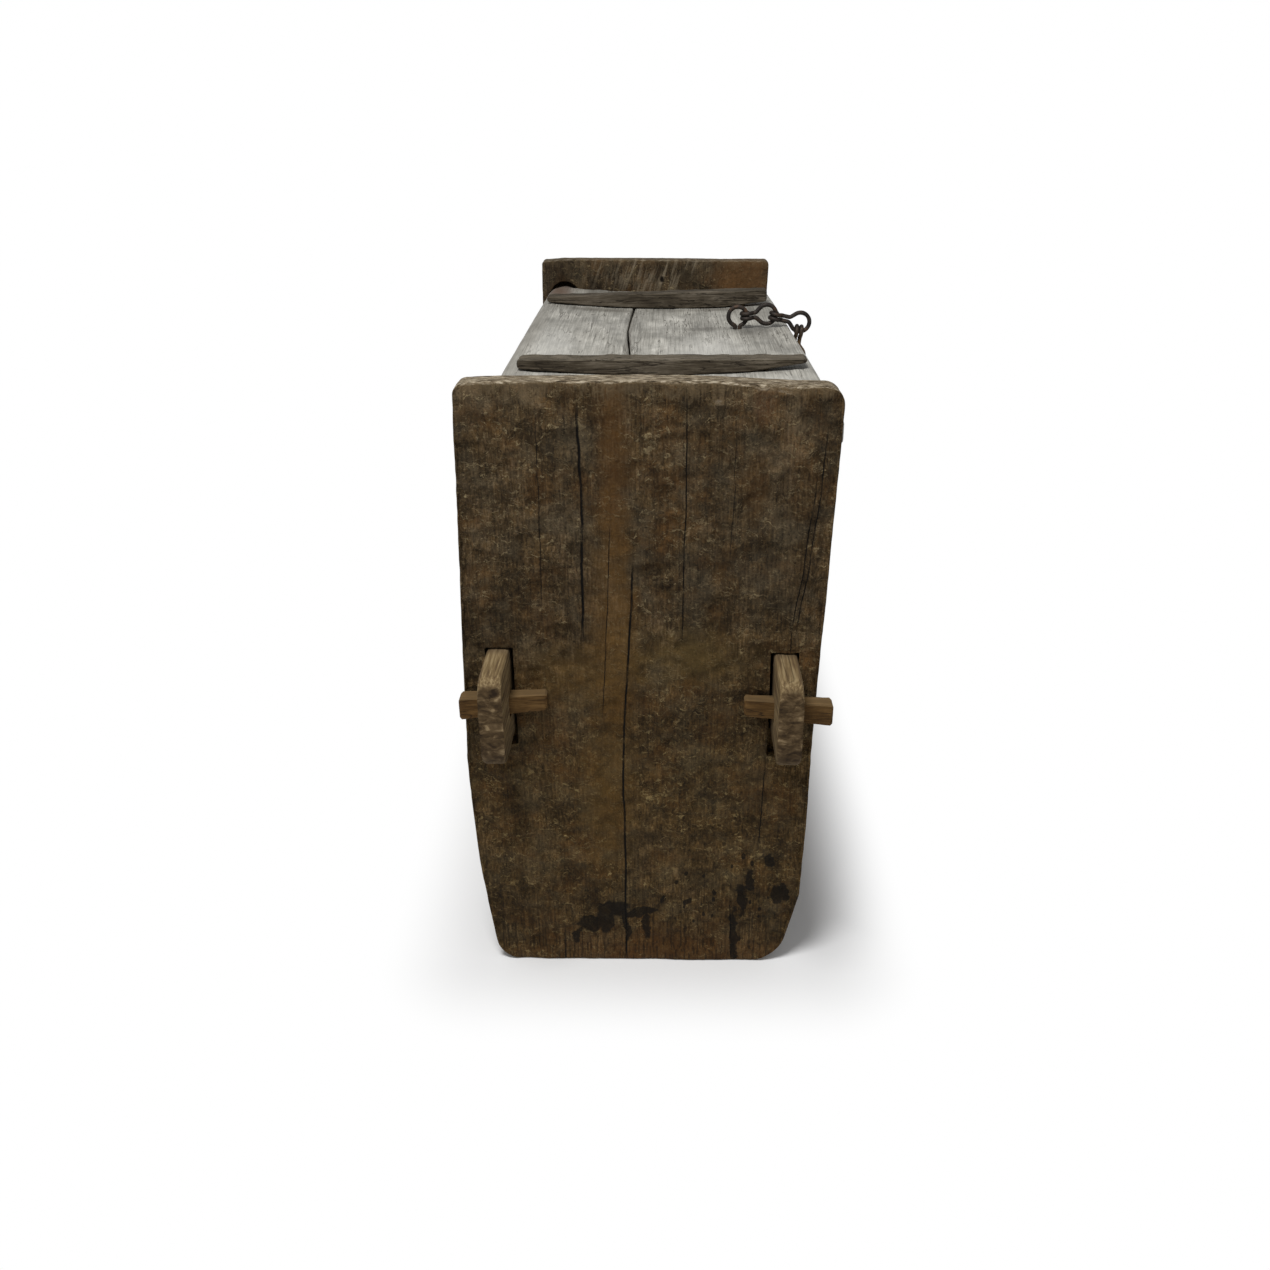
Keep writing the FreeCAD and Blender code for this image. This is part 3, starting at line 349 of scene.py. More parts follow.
def slab_shells(side, seed, top_wear, top_line, **corners):
    """Slab at the near (side -1) or far (1) end. Its faces are cut back by adze scoops and slow waves, the
    inner one less, and its top by wear; top_line gives places across and how far the top has dropped there,
    and corners go to slab_edges."""
    heights = np.arange(0.008, SLAB_TOP - 0.01, SLAB_GRID)
    from_top = np.array([9, 7, 5, 3.5, 2, 1, 0.3, 0]) / 1000
    heights = np.concatenate([[0, 0.0006, 0.002, 0.0045], heights, SLAB_TOP - from_top])
    back, front = slab_edges(heights, **corners)
    half = (SLAB_OUTER - SLAB_INNER) / 2
    thick = half - rounded_down(SLAB_TOP - heights, top_wear) - rounded_down(heights, FOOT_WEAR)
    middle = np.stack([(back + front) / 2, np.full_like(back, side * (SLAB_OUTER + SLAB_INNER) / 2)], 1)
    size = np.stack([(front - back) / 2, thick], 1)

    def depth(points, out):
        x, z = points[..., 0], points[..., 2]
        face = np.abs(out[..., 1])
        waves = wear(0.0004 + 0.001 * face, points, 0.07, seed) + wear(0.0004, points, 0.014, seed + 1)
        tears = wear(0.0002 + 0.0006 * face, points, (0.006, 0.006, 0.01), seed + 2)
        bent = x + 0.012 * rough(points, 0.045, seed + 3)
        cuts = scoops(bent, z + 0.012 * rough(points, 0.05, seed + 4), 0.044, 0.034, seed)
        fine = scoops(bent, z, 0.018, 0.015, seed + 5)
        smooth = np.exp(-(((x + 0.045) / 0.032) ** 2)) * np.clip((z - 0.5) / 0.1, 0, 1)
        faces = (1 - 0.6 * smooth) * (0.0042 * cuts + 0.0018 * fine)
        sides = wear(0.0007, points, (0.03, 0.03, 0.06), seed + 6)
        inner = np.clip(-side * out[..., 1], 0, 1)
        cut = waves + tears + face * faces + (1 - face) * sides
        return cut * (1 - 0.7 * inner) * np.clip(z / 0.03, 0.3, 1)

    rings = beam(2, heights, middle, size, 0.004, rounded_section(150, 6, 4), depth)
    x = rings[..., 0]
    lift = np.clip(rings[..., 2] / SLAB_TOP, 0, 1) ** 8
    along_top = np.stack([x, 0 * x, 0 * x], -1)
    dips = wear(0.0003, along_top, 0.05, seed + 7) + wear(0.0003, rings, 0.012, seed + 8)
    rings[..., 2] -= lift * (np.interp(x, *zip(*top_line)) + dips)
    return [rings]


def cut_outs(side):
    """What is cut out of a slab: its two through mortises, wider in their outer part, and the pintle's
    socket."""
    shells = []
    for inner, flare in (
        ((-0.2255, -0.1905, 0.4025, 0.5405), (-0.2265, -0.187, 0.389, 0.5425)),
        ((0.1735, 0.2085, 0.4025, 0.5335), (0.17, 0.2095, 0.369, 0.5355)),
    ):
        left, right, low, high = np.array([flare, flare, inner, inner]).T
        spots = np.array([SLAB_OUTER + 0.01, SLAB_OUTER - 0.03, SLAB_OUTER - 0.0301, SLAB_INNER - 0.01])
        centre = np.stack([(left + right) / 2, (low + high) / 2], 1)
        half = np.stack([(right - left) / 2, (high - low) / 2], 1)
        shells.append(beam(1, side * spots, centre, half, 0.0015, rounded_section(2, 1, 1)))
    stations = side * np.array([SLAB_INNER - 0.01, SLAB_INNER + 0.033])
    return shells + [beam(1, stations, (-0.2005, 0.8282), (0.034, 0.0365), 0.034, rounded_section(2, 1, 12))]


def slab_finish(name, tones):
    """Hewn surface of a slab, before its own cracks and stains, and all that timber gives."""
    material, add, where, colour, _ = timber(name, tones, 2, (0.0022, 0.016), 0.06, 0.4)
    # scales of 15 to 30 mm, which the adze lifted, and torn lumps of a few millimetres
    warp = add("TexNoise", where, Scale=42, Detail=5, Roughness=0.6)["Color"]
    torn = add("VectorMath:MULTIPLY_ADD", warp, (0.045, 0.045, 0.045), where)
    scales = add("TexVoronoi", torn, Scale=42, Smoothness=0.25, feature="SMOOTH_F1")
    lumps = add("TexNoise", torn, Scale=120, Detail=5, Roughness=0.7)
    relief = add("Math:MULTIPLY_ADD", scales, -0.55, lumps)
    # the colour is darker in the hollows of the scales and paler on the lumps: painted shade and painted
    # light of this relief
    colour = shaded(add, colour, relief, 0.12, 0.52, 0.62, 1.5)
    # browner and greyer patches of 40 to 80 mm, and fine upright grain
    patches = add("TexNoise", where, Scale=17, Detail=6, Roughness=0.65)
    patches = add("SeparateXYZ", patches["Color"])
    for part, tint in (("X", "6a4a26"), ("Y", "6b604c")):
        colour = mark(add, colour, tint, 0.5, add("MapRange", patches[part], 0.48, 0.66))
    colour = shaded(add, colour, patches["Z"], 0.36, 0.64, 0.7, 1.22)
    colour = shaded(add, colour, drawn(add, where, (360, 360, 9), 3), 0.4, 0.6, 0.74, 1.24)
    # torn fibres, pale and about 2 mm wide, curl round the scales, with specks and dark pores between them
    curls = add("MapRange", drawn(add, torn, (75, 75, 330), 3, 0.6), 0.55, 0.63)
    clusters = add("MapRange", lumps, 0.38, 0.62)
    groups = add("MapRange", patches["Z"], 0.4, 0.56, 0.25)
    curls = overlap(add, curls, clusters, groups)
    grit = add("TexNoise", where, Scale=340, Detail=3, Roughness=0.6)
    colour = mark(add, colour, "1c140b", 0.6, add("MapRange", grit, 0.44, 0.32))
    colour = mark(add, colour, "b8a37a", 0.9, curls)
    colour = mark(add, colour, "8f7b59", 0.45, add("MapRange", grit, 0.6, 0.7))
    relief = add("Math:MULTIPLY_ADD", curls, 0.25, relief)
    return material, add, where, colour, add("Math:MULTIPLY_ADD", grit, 0.22, relief)


def top_grain(add, where, colour, height, arris, amount):
    """Top of an upright plank: grey end grain, speckled by open pores, and pale fibres on the arris just
    below it. arris is the height where those fibres begin."""
    level = add("SeparateXYZ", where)["Z"]
    top = add("MapRange", facing(add)["Z"], 0.3, 0.7, 0, amount)
    top = overlap(add, top, add("MapRange", level, arris - 0.02, arris))
    pores = drawn(add, where, (70, 300, 200), 6, 0.75)
    grey = add("ValToRGB", pores, stops=[(0.38, "281e14"), (0.5, "786a54"), (0.62, "beb29c")])
    fibres = drawn(add, where, (420, 420, 25), 2)
    patchy = add("TexNoise", where, Scale=38, Detail=3)
    reach = add("Math:MULTIPLY_ADD", fibres, 0.06, level)
    reach = add("Math:MULTIPLY_ADD", patchy, 0.07, reach)
    reach = add("MapRange", reach, arris + 0.06, arris + 0.078)
    colour = mark(add, colour, "7d6b50", 0.6 * amount, reach)
    colour = add("MixRGB", top, colour, grey)
    return colour, add("MixRGB", top, height, add("Math:MULTIPLY", pores, 0.35))


# Adze-dressed slab: smoke-brown wood, torn into small scales with pale threads, so that it reads as hewn
# and very old.
material, add, where, colour, height = slab_finish("adzed_smoke_brown_slab", ("36291a", "544228", "77634a"))
xyz = add("SeparateXYZ", where)
# the heartwood shows as an orange-brown streak left of the middle, and in smaller patches
heartwood = [
    ((-0.042, -0.63, 0.82), (0.032, 0.2, 0.24), "67461f", 0.55),
    ((-0.046, -0.63, 0.56), (0.05, 0.2, 0.26), "77572a", 0.55),
    ((0.149, -0.63, 0.885), (0.022, 0.2, 0.035), "6b452a", 0.4),
    ((0.142, -0.63, 0.77), (0.025, 0.2, 0.07), "5a3e1e", 0.4),
    ((-0.06, -0.63, 0.3), (0.06, 0.2, 0.2), "71572d", 0.45),
    ((-0.1, -0.63, 0.5), (0.12, 0.2, 0.07), "6f562d", 0.45),
    ((0.06, -0.63, 0.53), (0.12, 0.2, 0.06), "745f36", 0.5),
    ((0.02, -0.63, 0.02), (0.32, 0.2, 0.06), "5f3f20", 0.5),
]
colour = tinted_in_patches(add, where, colour, heartwood, 0.9, 1.0, 0.025)
# the lower half is warmer
warm = add("MapRange", xyz["Z"], 0.62, 0.36)
colour = add("MixRGB", warm, colour, (1.02, 0.96, 0.78, 1), blend_type="MULTIPLY")
# near the foot the upright grain is open and dark
low = add("MapRange", xyz["Z"], 0.2, 0.03, 0, 0.8)
open_grain = add("MapRange", drawn(add, where, (300, 300, 6), 3), 0.5, 0.4)
colour = mark(add, colour, "21180d", 0.8, open_grain, low)
# drying cracks along the grain: height and place across, half width, sway, and where each ends
cracks = [
    (
        [(0, -0.036), (0.24, -0.0355), (0.37, -0.0355), (0.53, -0.0265), (0.71, -0.0165)],
        0.0018, 0.003, 0.7, -0.05,
    ),
    ([(0, 0.046), (0.59, 0.048), (0.76, 0.051), (0.905, 0.051)], 0.001, 0.003, 0.905, 0.55),
    ([(0, -0.089), (0.56, -0.089), (0.65, -0.088), (0.785, -0.086), (0.9, -0.091)], 0.0021, 0.006, 0.9, 0.55),
    ([(0, -0.066), (0.43, -0.064), (0.5, -0.06), (0.74, -0.048)], 0.0007, 0.003, 0.74, 0.43),
    ([(0, 0.2), (0.56, 0.204), (0.7, 0.22), (0.82, 0.228)], 0.001, 0.003, 0.86, 0.56),
    ([(0, 0.192), (0.56, 0.198), (0.7, 0.213), (0.82, 0.221)], 0.0009, 0.004, 0.8, 0.52),
    ([(0, 0.163), (0.21, 0.164), (0.37, 0.169), (0.5, 0.17)], 0.001, 0.003, 0.37, 0.2),
    ([(0, 0.128), (0.12, 0.124), (0.3, 0.12)], 0.0011, 0.003, 0.13, -0.02),
    ([(0, -0.133), (0.05, -0.132), (0.3, -0.13)], 0.001, 0.003, 0.05, -0.05),
    ([(0, -0.15), (0.5, -0.145), (0.9, -0.14)], 0.0006, 0.006, 0.88, 0.6),
    ([(0, 0.105), (0.5, 0.11), (0.9, 0.115)], 0.0005, 0.006, 0.86, 0.66),
]
gaps = union(add, *(crack(add, where, *run) for run in cracks))
# wormholes of about 2 mm, in the sapwood near the foot
holes = add("TexVoronoi", where, Scale=75, feature="F1")
few = add("Math:GREATER_THAN", holes["Color"], 0.62)
low = add("MapRange", xyz["Z"], 0.36, 0.2)
aside = add("MapRange", add("Math:ABSOLUTE", xyz["X"]), 0.05, 0.1)
holes = overlap(add, add("Math:LESS_THAN", holes, 0.085), few, low, aside)
# dark liquid has splashed on the foot and run down in drips: place across, height, and half width and
# height of each
flow = add("TexNoise", where, Scale=32, Detail=4, Roughness=0.6)["Color"]
flow = add("VectorMath:MULTIPLY_ADD", flow, (0.035, 0, 0.035), where)
flow = add("VectorMath:SUBTRACT", flow, (0.0175, 0, 0.0175))
spills = [
    (-0.088, 0.068, 0.03, 0.016), (-0.055, 0.098, 0.026, 0.018), (-0.066, 0.08, 0.012, 0.034),
    (-0.036, 0.068, 0.006, 0.04), (-0.014, 0.09, 0.028, 0.009), (-0.006, 0.06, 0.008, 0.03),
    (-0.11, 0.046, 0.006, 0.016), (0.153, 0.15, 0.009, 0.022), (0.143, 0.115, 0.008, 0.034),
    (0.131, 0.05, 0.007, 0.056), (0.181, 0.189, 0.009, 0.015), (0.194, 0.125, 0.01, 0.018),
    (0.206, 0.132, 0.008, 0.02), (0.06, 0.11, 0.008, 0.008), (0.02, 0.112, 0.006, 0.008),
]
spills = [
    region(add, flow, (x, -0.63, z), (wide, 0.2, high), 0.25, 0.5, 0.012) for x, z, wide, high in spills
]
# smaller drops of 3 to 8 mm lie round the drips on the right
drops = add("CombineXYZ", xyz["X"], add("Math:MULTIPLY", xyz["Z"], 0.6))
drops = add("TexVoronoi", drops, Scale=70, feature="F1", voronoi_dimensions="2D")
small = add("SeparateXYZ", drops["Color"])
small = add("MapRange", small, 0.5, 1, 0, 0.24)
drops = add("Math:LESS_THAN", drops, small)
drops = overlap(add, drops, region(add, where, (0.13, -0.63, 0.12), (0.15, 0.2, 0.14), 0.5))
colour = mark(add, colour, "120e09", 0.85, union(add, *spills, drops))
colour, height = top_grain(add, where, colour, height, 0.893, 1.0)
colour = mark(add, colour, "0f0b07", 1, gaps)
colour = mark(add, colour, "0e0a07", 1, holes)
adzed_wood = dress(material, colour, height, 0.0085, cuts=union(add, gaps, holes), depth=1.2)

# places across the top, and how far it has dropped there
top_line = (
    (-0.245, 0.002), (-0.19, 0), (0.02, 0), (0.06, 0.0005), (0.11, 0.003), (0.19, 0.0075), (0.251, 0.009)
)
shells = slab_shells(-1, 11, 0.0055, top_line, foot_round=0.045, foot_slope=0.19)
place("end_slab_near", "hewn", shells, "chest", adzed_wood, cut_outs(-1))

# --------------------
# The far end slab: the other half of the same log. Its inner face is less worn: dark at the back, where a
# painted shade lies by the pintle's worn socket, streaked with rain and dust in the middle and orange-brown
# at the front, with a small knot, and its top is arched by wear.

material, add, where, colour, height = slab_finish("rain_streaked_far_slab", ("2a2116", "423525", "5f4f3b"))
xyz = add("SeparateXYZ", where)
# the streaks lean a little towards the back on their way down
lean = add("Math:MULTIPLY_ADD", xyz["Z"], -0.35, xyz["X"])
streaks = drawn(add, add("CombineXYZ", lean, Z=xyz["Z"]), (95, 95, 9), 4, 0.6)
streaks = add("MapRange", streaks, 0.5, 0.62)
middle = region(add, where, (-0.01, 0.58, 0.9), (0.19, 0.1, 0.1), 0.7, 0.8)
colour = mark(add, colour, "9c8e77", 0.6, streaks, middle)
# orange-brown at the front, a painted shade at the back by the pintle's worn socket, the small knot and a
# darker stain
stains_and_painted_light = [
    ((0.19, 0.58, 0.87), (0.09, 0.1, 0.1), "6f5030", 0.6),
    ((-0.22, 0.58, 0.88), (0.06, 0.1, 0.1), "231b12", 0.6),
    ((0.015, 0.58, 0.868), (0.006, 0.1, 0.009), "1a130d", 1),
    ((0.07, 0.58, 0.87), (0.03, 0.1, 0.03), "33281b", 0.6),
]
colour = tinted_in_patches(add, where, colour, stains_and_painted_light, 0.7, 0.8)
colour, height = top_grain(add, where, colour, height, 0.896, 0.4)
streaked_wood = dress(material, colour, height, 0.005)

top_line = ((-0.245, 0.004), (-0.2075, 0.0015), (-0.17, 0.0011), (0.251, 0.007))
shells = slab_shells(1, 31, 0.004, top_line, back_top=0.251, top_rounds=(0.007, 0.01))
place("end_slab_far", "hewn", shells, "chest", streaked_wood, cut_outs(1))

# --------------------
# The side boards: six split planks, three to a side, hewn flat and let into the slabs. The middle ones
# carry the through tenons, whose ends have weathered to a grey-tan and whose slots hold the wedges.

BOARD_END = 0.5803
TENON_END = 0.7185
TENON_FOOT = 0.403
TENON_ROUND = 0.024
WEDGE_SLOT = np.array([0.6245, 0.6565])  # where the slots begin and end along a tenon
SEAM_GAP = 0.0006


def board_depth(seed, amount):
    """How far the surface of a board is cut back: long shallow scoops and slow waves."""

    def depth(points, out):
        y, z = points[..., 1], points[..., 2]
        cuts = scoops(z + 0.01 * rough(points, 0.05, seed + 2), y, 0.05, 0.09, seed)
        return amount * (wear(0.4, points, (0.05, 0.16, 0.05), seed) + 0.9 * cuts * np.abs(out[..., 0]))

    return depth


tones = ("3a2e20", "5a4a36", "7d6b50")
material, add, where, colour, height = timber("hewn_weathered_board", tones, 1, (0.003, 0.14), 0.07, 0.35)
shakes = add("Math:SUBTRACT", drawn(add, where, (38, 0.9, 38), 2.5), 0.5)
shakes = add("MapRange", add("Math:ABSOLUTE", shakes), 0.0015, 0.006, 1, 0)
colour = mark(add, colour, "1a130d", 0.8, shakes)
# outside the slabs the tenons are weathered to a tan, with fine dark grain lines along them
xyz = add("SeparateXYZ", where)
outside = add("MapRange", add("Math:ABSOLUTE", xyz["Y"]), 0.62, 0.64)
grain = drawn(add, where, (300, 14, 300), 3, 0.6)
tan = add("ValToRGB", grain, stops=[(0.36, "5a4833"), (0.5, "746143"), (0.64, "917e5d")])
colour = add("MixRGB", outside, colour, tan)
# their battered ends are dark end grain, wrinkled in folds of 5 to 10 mm, and darkest where they turn under,
# a painted shade
folds = add("VectorMath:MULTIPLY", where, (60, 60, 110))
folds = add("TexNoise", folds, Scale=1, Detail=6, Roughness=0.6, Distortion=0.6)
end_tones = [(0.33, "281d11"), (0.48, "4b3b26"), (0.58, "625038"), (0.69, "998463")]
end_on = add("MapRange", add("Math:ABSOLUTE", facing(add)["Y"]), 0.72, 0.9)
end_on = overlap(add, end_on, outside)
colour = add("MixRGB", end_on, colour, add("ValToRGB", folds, stops=end_tones))
# painted shade: the tenons darken towards their underside
under = add("MapRange", xyz["Z"], 0.455, 0.405, 0, 0.6)
colour = mark(add, colour, "33261a", 1, under, outside)
height = add("Math:MULTIPLY_ADD", shakes, -1, height)
height = add("MixRGB", end_on, height, add("Math:MULTIPLY", folds, 1.1))
board_wood = dress(material, colour, height, 0.0014)

lengthwise = np.concatenate([[-BOARD_END], np.arange(-0.57, 0.5701, 0.01), [BOARD_END]])
from_tip = [158.5, 118.5, 88.5, 68.5, 48.5, 38.5, 28.5, 24, 19.5, 14.5, 9.5, 5, 2, 0.3, 0]
tenon_run = TENON_END - np.array(from_tip) / 1000
for side, inner, outer, top_seam, tenon_top, wedge_top in (
    ("back", -0.225, -0.191, 0.7808, 0.54, 0.484),
    ("front", 0.174, 0.208, 0.8117, 0.533, 0.476),
):
    centre_x, half_x = (inner + outer) / 2, (outer - inner) / 2
    levels = (("lower", 0.15, 0.37), ("middle", 0.37, 0.575), ("upper", 0.575, top_seam))
    for number, (level, low, high) in enumerate(levels):
        seed = 50 + 7 * number + (100 if side == "back" else 0)
        centre, half = (centre_x, (low + high) / 2), (half_x, (high - low) / 2 - SEAM_GAP)
        section, depth = rounded_section(10, 24, 3), board_depth(seed, 0.0012)
        shells = [beam(1, lengthwise, centre, half, 0.003, section, depth)]
        slots = []
        for end in ((-1, 1) if level == "middle" else ()):
            half_z = (tenon_top - TENON_FOOT) / 2 - rounded_down(TENON_END - tenon_run, TENON_ROUND)
            centre = (centre_x, (tenon_top + TENON_FOOT) / 2)
            half = np.stack([half_x + 0 * half_z, half_z], 1)
            section, depth = rounded_section(10, 30, 3), board_depth(seed + end, 0.0009)
            shells.append(beam(1, end * tenon_run, centre, half, 0.0065, section, depth))
            centre, half = (centre_x, wedge_top - 0.0173), (half_x + 0.01, 0.0176)
            slots.append(beam(1, end * WEDGE_SLOT, centre, half, 0.001, rounded_section(2, 1, 1)))
        place(f"{side}_board_{level}", "hewn", shells, "chest", board_wood, slots)

# --------------------
# The floor: two dry boards tongued into the lower side boards and the slabs. They keep the shape of the
# frame.

tones = ("3a2e20", "5f4e3a", "84725a")
material, _, _, colour, height = timber("dry_floor_board", tones, 1, (0.003, 0.14), 0.12, 0.4)
floor_wood = dress(material, colour, height, 0.0008)
for name in ("floor_board_back", "floor_board_front"):
    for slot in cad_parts[name].material_slots:
        slot.material = floor_wood

# --------------------
# The tusk wedges: split from dry wood, tapered with a knife and driven sideways through the tenons against
# the slabs.

WEDGE_LENGTH = 0.122


def hair_cracks(add, where, pitch, width, *noise):
    """Mask of fine cracks along the grain: where noise drawn out by that pitch comes within width of its
    middle."""
    return add("Math:COMPARE", drawn(add, where, pitch, *noise), 0.5, width)


tones = ("352411", "563e20", "775b36")
material, add, where, colour, height = timber("split_dry_wedge", tones, 0, (0.0018, 0.09), 0.025, 0.45)
splits = hair_cracks(add, where, (4, 75, 75), 0.004, 1)
colour = mark(add, colour, "241a0f", 0.7, splits)
# the upper face and its arrises are painted paler: rubbed wear on the arrises and painted light from above
colour = mark(add, colour, "93805f", 0.22, add("MapRange", facing(add)["Z"], 0.2, 0.7))
wedge_wood = dress(material, colour, height, 0.0008, cuts=splits, depth=0.7)

for name, side, end, butt, top in (
    ("near_back", -1, -1, 0.262, 0.484),
    ("near_front", 1, -1, 0.256, 0.476),
    ("far_back", -1, 1, 0.279, 0.484),
    ("far_front", 1, 1, 0.248, 0.476),
):
    tip = [116, 119, 120.5, 121.5, 122]
    along = np.concatenate([[0, 0.5, 1.5, 3, 6, 12], np.arange(20, 111, 10), tip]) / 1000
    share = along / WEDGE_LENGTH
    chamfer = np.maximum(np.clip(0.003 - along, 0, None), np.clip(along - (WEDGE_LENGTH - 0.003), 0, None))
    upper, lower = top - 0.0045 * (1 - share), top - 0.038 + 0.011 * share
    deep = 0.029 - 0.008 * share
    centre = np.stack([end * (SLAB_OUTER + deep / 2), (upper + lower) / 2], 1)
    half = np.stack([deep / 2 - chamfer * 0.8, (upper - lower) / 2 - chamfer * 0.8], 1)
    seed = 200 + 11 * side + 5 * end

    def whittled(points, out):
        return wear(0.0007, points, (0.03, 0.008, 0.008), seed) + wear(0.0004, points, 0.006, seed + 1)

    rings = beam(0, side * (butt - along), centre, half, 0.0025, rounded_section(8, 6, 3), whittled)
    place(f"wedge_{name}", "split", [rings], f"wedge_{name}", wedge_wood)

# --------------------
# The lid: two wide planks, weathered silver grey and dished by use. The rear one ends in a round rail with
# a pintle at each end; the front one overhangs the front boards and narrows towards the far end. A worn
# wavy seam parts them.

LID_HALF = 0.5765
LID_BOTTOM = 0.812
LID_MIDDLE = 0.8425  # height of the top half way across
LID_FRONT = (0.2585, 0.85)  # front edge of the top at the near end: place and height
RAIL = (-0.208, 0.822, 0.0325)  # middle and radius of the rounded rear edge
PINTLE = (-0.2, 0.822, 0.03)  # middle and radius
SEAM = -0.042


def sunk(x, y):
    """How far the lid's top has sunk: up to 6 mm at its near back corner, whose socket is worn deepest, and
    nothing at the front edge and beyond the middle."""
    return 0.006 * np.clip((0.2 - x) / 0.4, 0, 1) * np.clip(-y / 0.27, 0, 1)


def dish(x, y):
    """Height of the lid's top: one arc through the rail's crown, the middle and the front edge, less what
    has sunk."""
    crown = RAIL[1] + RAIL[2]
    run, fall = LID_FRONT[0] - RAIL[0], crown - LID_FRONT[1]
    sag = (crown + LID_FRONT[1]) / 2 - LID_MIDDLE
    chord = math.hypot(run, fall)
    radius = (chord**2 / 4 + sag**2) / (2 * sag)
    rise = (radius - sag) / chord
    centre_x, centre_z = (RAIL[0] + LID_FRONT[0]) / 2 + fall * rise, (crown + LID_FRONT[1]) / 2 + run * rise
    return centre_z - np.sqrt(radius**2 - (x - centre_x) ** 2) - sunk(x, y)


def seam_edge(y, side):
    """Edge of the plank on the back (-1) or front (1) side of the seam. It has worn back in slow waves."""
    line = np.stack([0 * y, y, 0 * y], -1)
    worn = wear(0.0004, line, 0.1, 70 + side) + wear(0.0003, line, 0.03, 75 + side)
    spots = (-0.27, -0.18, -0.1, 0.01, 0.11, 0.24, 0.38)
    bend = np.interp(y, spots, (-0.003, 0.003, 0.006, 0, -0.004, -0.002, 0.002))
    return SEAM + bend + side * (0.0009 + worn)


def front_edge(y):
    """Front edge of the lid: it narrows by 16.5 mm towards the far end, bows out by 3.5 mm and is rounded
    off at its near corner."""
    share = (y + LID_HALF) / (2 * LID_HALF)
    return LID_FRONT[0] - 0.0165 * share + 0.014 * share * (1 - share) - rounded_down(y + LID_HALF, 0.014)


def plank_rings(left, right, left_rounds, right_rounds, seed):
    """Rings of a lid plank along Y, from its left and right edge at each y. The rail's circle bounds it
    behind, the dish above and a plane below, and the rounds are the radii of its upper and lower arris on
    either side."""
    ends = LID_HALF - np.array([0, 0.4, 1.2, 2.4, 4, 7]) / 1000
    y = np.concatenate([-ends, np.arange(-0.565, 0.566, 0.005), ends[::-1]])[:, None]
    spread = (1 - np.cos(np.linspace(0, math.pi, 15)[:8])) / 2 * 0.1
    share = np.concatenate([spread, np.linspace(0.05, 0.95, 60)[1:-1], 1 - spread[::-1]])[None, :]
    left, right = left(y), right(y)
    x = left + (right - left) * share
    at_end = rounded_down(LID_HALF - np.abs(y), 0.004)
    x = x + at_end * (1 - 2 * share)
    from_left, from_right = x - left, right - x
    rail = np.sqrt(np.clip(RAIL[2] ** 2 - (x - RAIL[0]) ** 2, 0, None))
    crown = RAIL[1] + rail * (1 - sunk(RAIL[0], y) / RAIL[2])
    upper = np.where(x < RAIL[0], crown, dish(np.maximum(x, RAIL[0]), y)) - at_end
    upper = upper - rounded_down(from_left, left_rounds[0]) - rounded_down(from_right, right_rounds[0])
    lower = np.minimum(RAIL[1] - rail, LID_BOTTOM + 10 * np.clip(RAIL[0] - x, 0, None)) + at_end
    lower = lower + rounded_down(from_left, left_rounds[1]) + rounded_down(from_right, right_rounds[1])
    y = y + 0 * x
    flat = np.stack([x, y, 0 * x], -1)
    upper = upper - wear(0.0009, flat, (0.03, 0.2, 1), seed) - wear(0.0004, flat, (0.005, 0.06, 1), seed + 1)
    lower = lower + wear(0.0008, flat, (0.04, 0.1, 1), seed + 2)
    middle, apart = (upper + lower) / 2, 1e-5
    upper, lower = np.maximum(upper, middle + apart), np.minimum(lower, middle - apart)
    return np.concatenate([np.stack([x, y, lower], -1), np.stack([x, y, upper], -1)[:, ::-1]], axis=1)


# Silver-grey lid: dry wood bleached by handling and weather, with dark checks along the grain and stains by
# the iron. Its pale patches are painted sheen, and it has painted shade along its rounded rear rail and a
# painted shadow in front of the far batten.
tones = ("77746c", "a29f96", "c0bdb4")
material, add, where, colour, height = timber("silver_grey_lid", tones, 1, (0.0022, 0.13), 0.07, 0.35)
# grey smudges of 20 to 60 mm, rubbed along the boards
smudges = drawn(add, where, (30, 14, 30), 6, 0.65)
colour = shaded(add, colour, smudges, 0.35, 0.65, 0.76, 1.34)
# drying checks along the grain, where the smudges are pale
checks = hair_cracks(add, where, (60, 3.5, 60), 0.009, 4, 0.6)
checks = overlap(add, checks, add("MapRange", smudges, 0.47, 0.53))
colour = mark(add, colour, "4a453d", 0.7, checks)
stains_and_painted_light = [
    # painted sheen: pale patches over the bleached wear, on the front plank and at the back
    ((0.1, -0.1, 0.845), (0.1, 0.22, 0.06), "d8d6cf", 0.4),
    ((0.2, -0.42, 0.845), (0.06, 0.16, 0.06), "dedcd5", 0.5),
    ((-0.17, -0.1, 0.845), (0.06, 0.3, 0.06), "d8d6cf", 0.35),
    # dark stains by the iron staple
    ((0.19, 0.08, 0.845), (0.05, 0.1, 0.06), "55514a", 0.6),
    ((0.1, 0.12, 0.845), (0.06, 0.03, 0.06), "5f5b54", 0.6),
    # painted shade along the rounded rear rail
    ((-0.22, 0, 0.85), (0.03, 0.7, 0.05), "8b867c", 0.5),
    # a dark line along the seam
    ((-0.042, 0, 0.84), (0.009, 0.7, 0.05), "6b665c", 0.5),
    # darker along the far end
    ((0, 0.56, 0.84), (0.3, 0.05, 0.05), "5c564c", 0.5),
    # painted shadow on the lid just in front of the far batten
    ((-0.11, 0.315, 0.845), (0.09, 0.035, 0.06), "5f5a51", 0.6),
    ((0.11, 0.33, 0.845), (0.12, 0.025, 0.06), "6b665d", 0.5),
    # brown by the far pintle's socket
    ((-0.205, 0.53, 0.84), (0.045, 0.13, 0.06), "6b5444", 0.85),
]
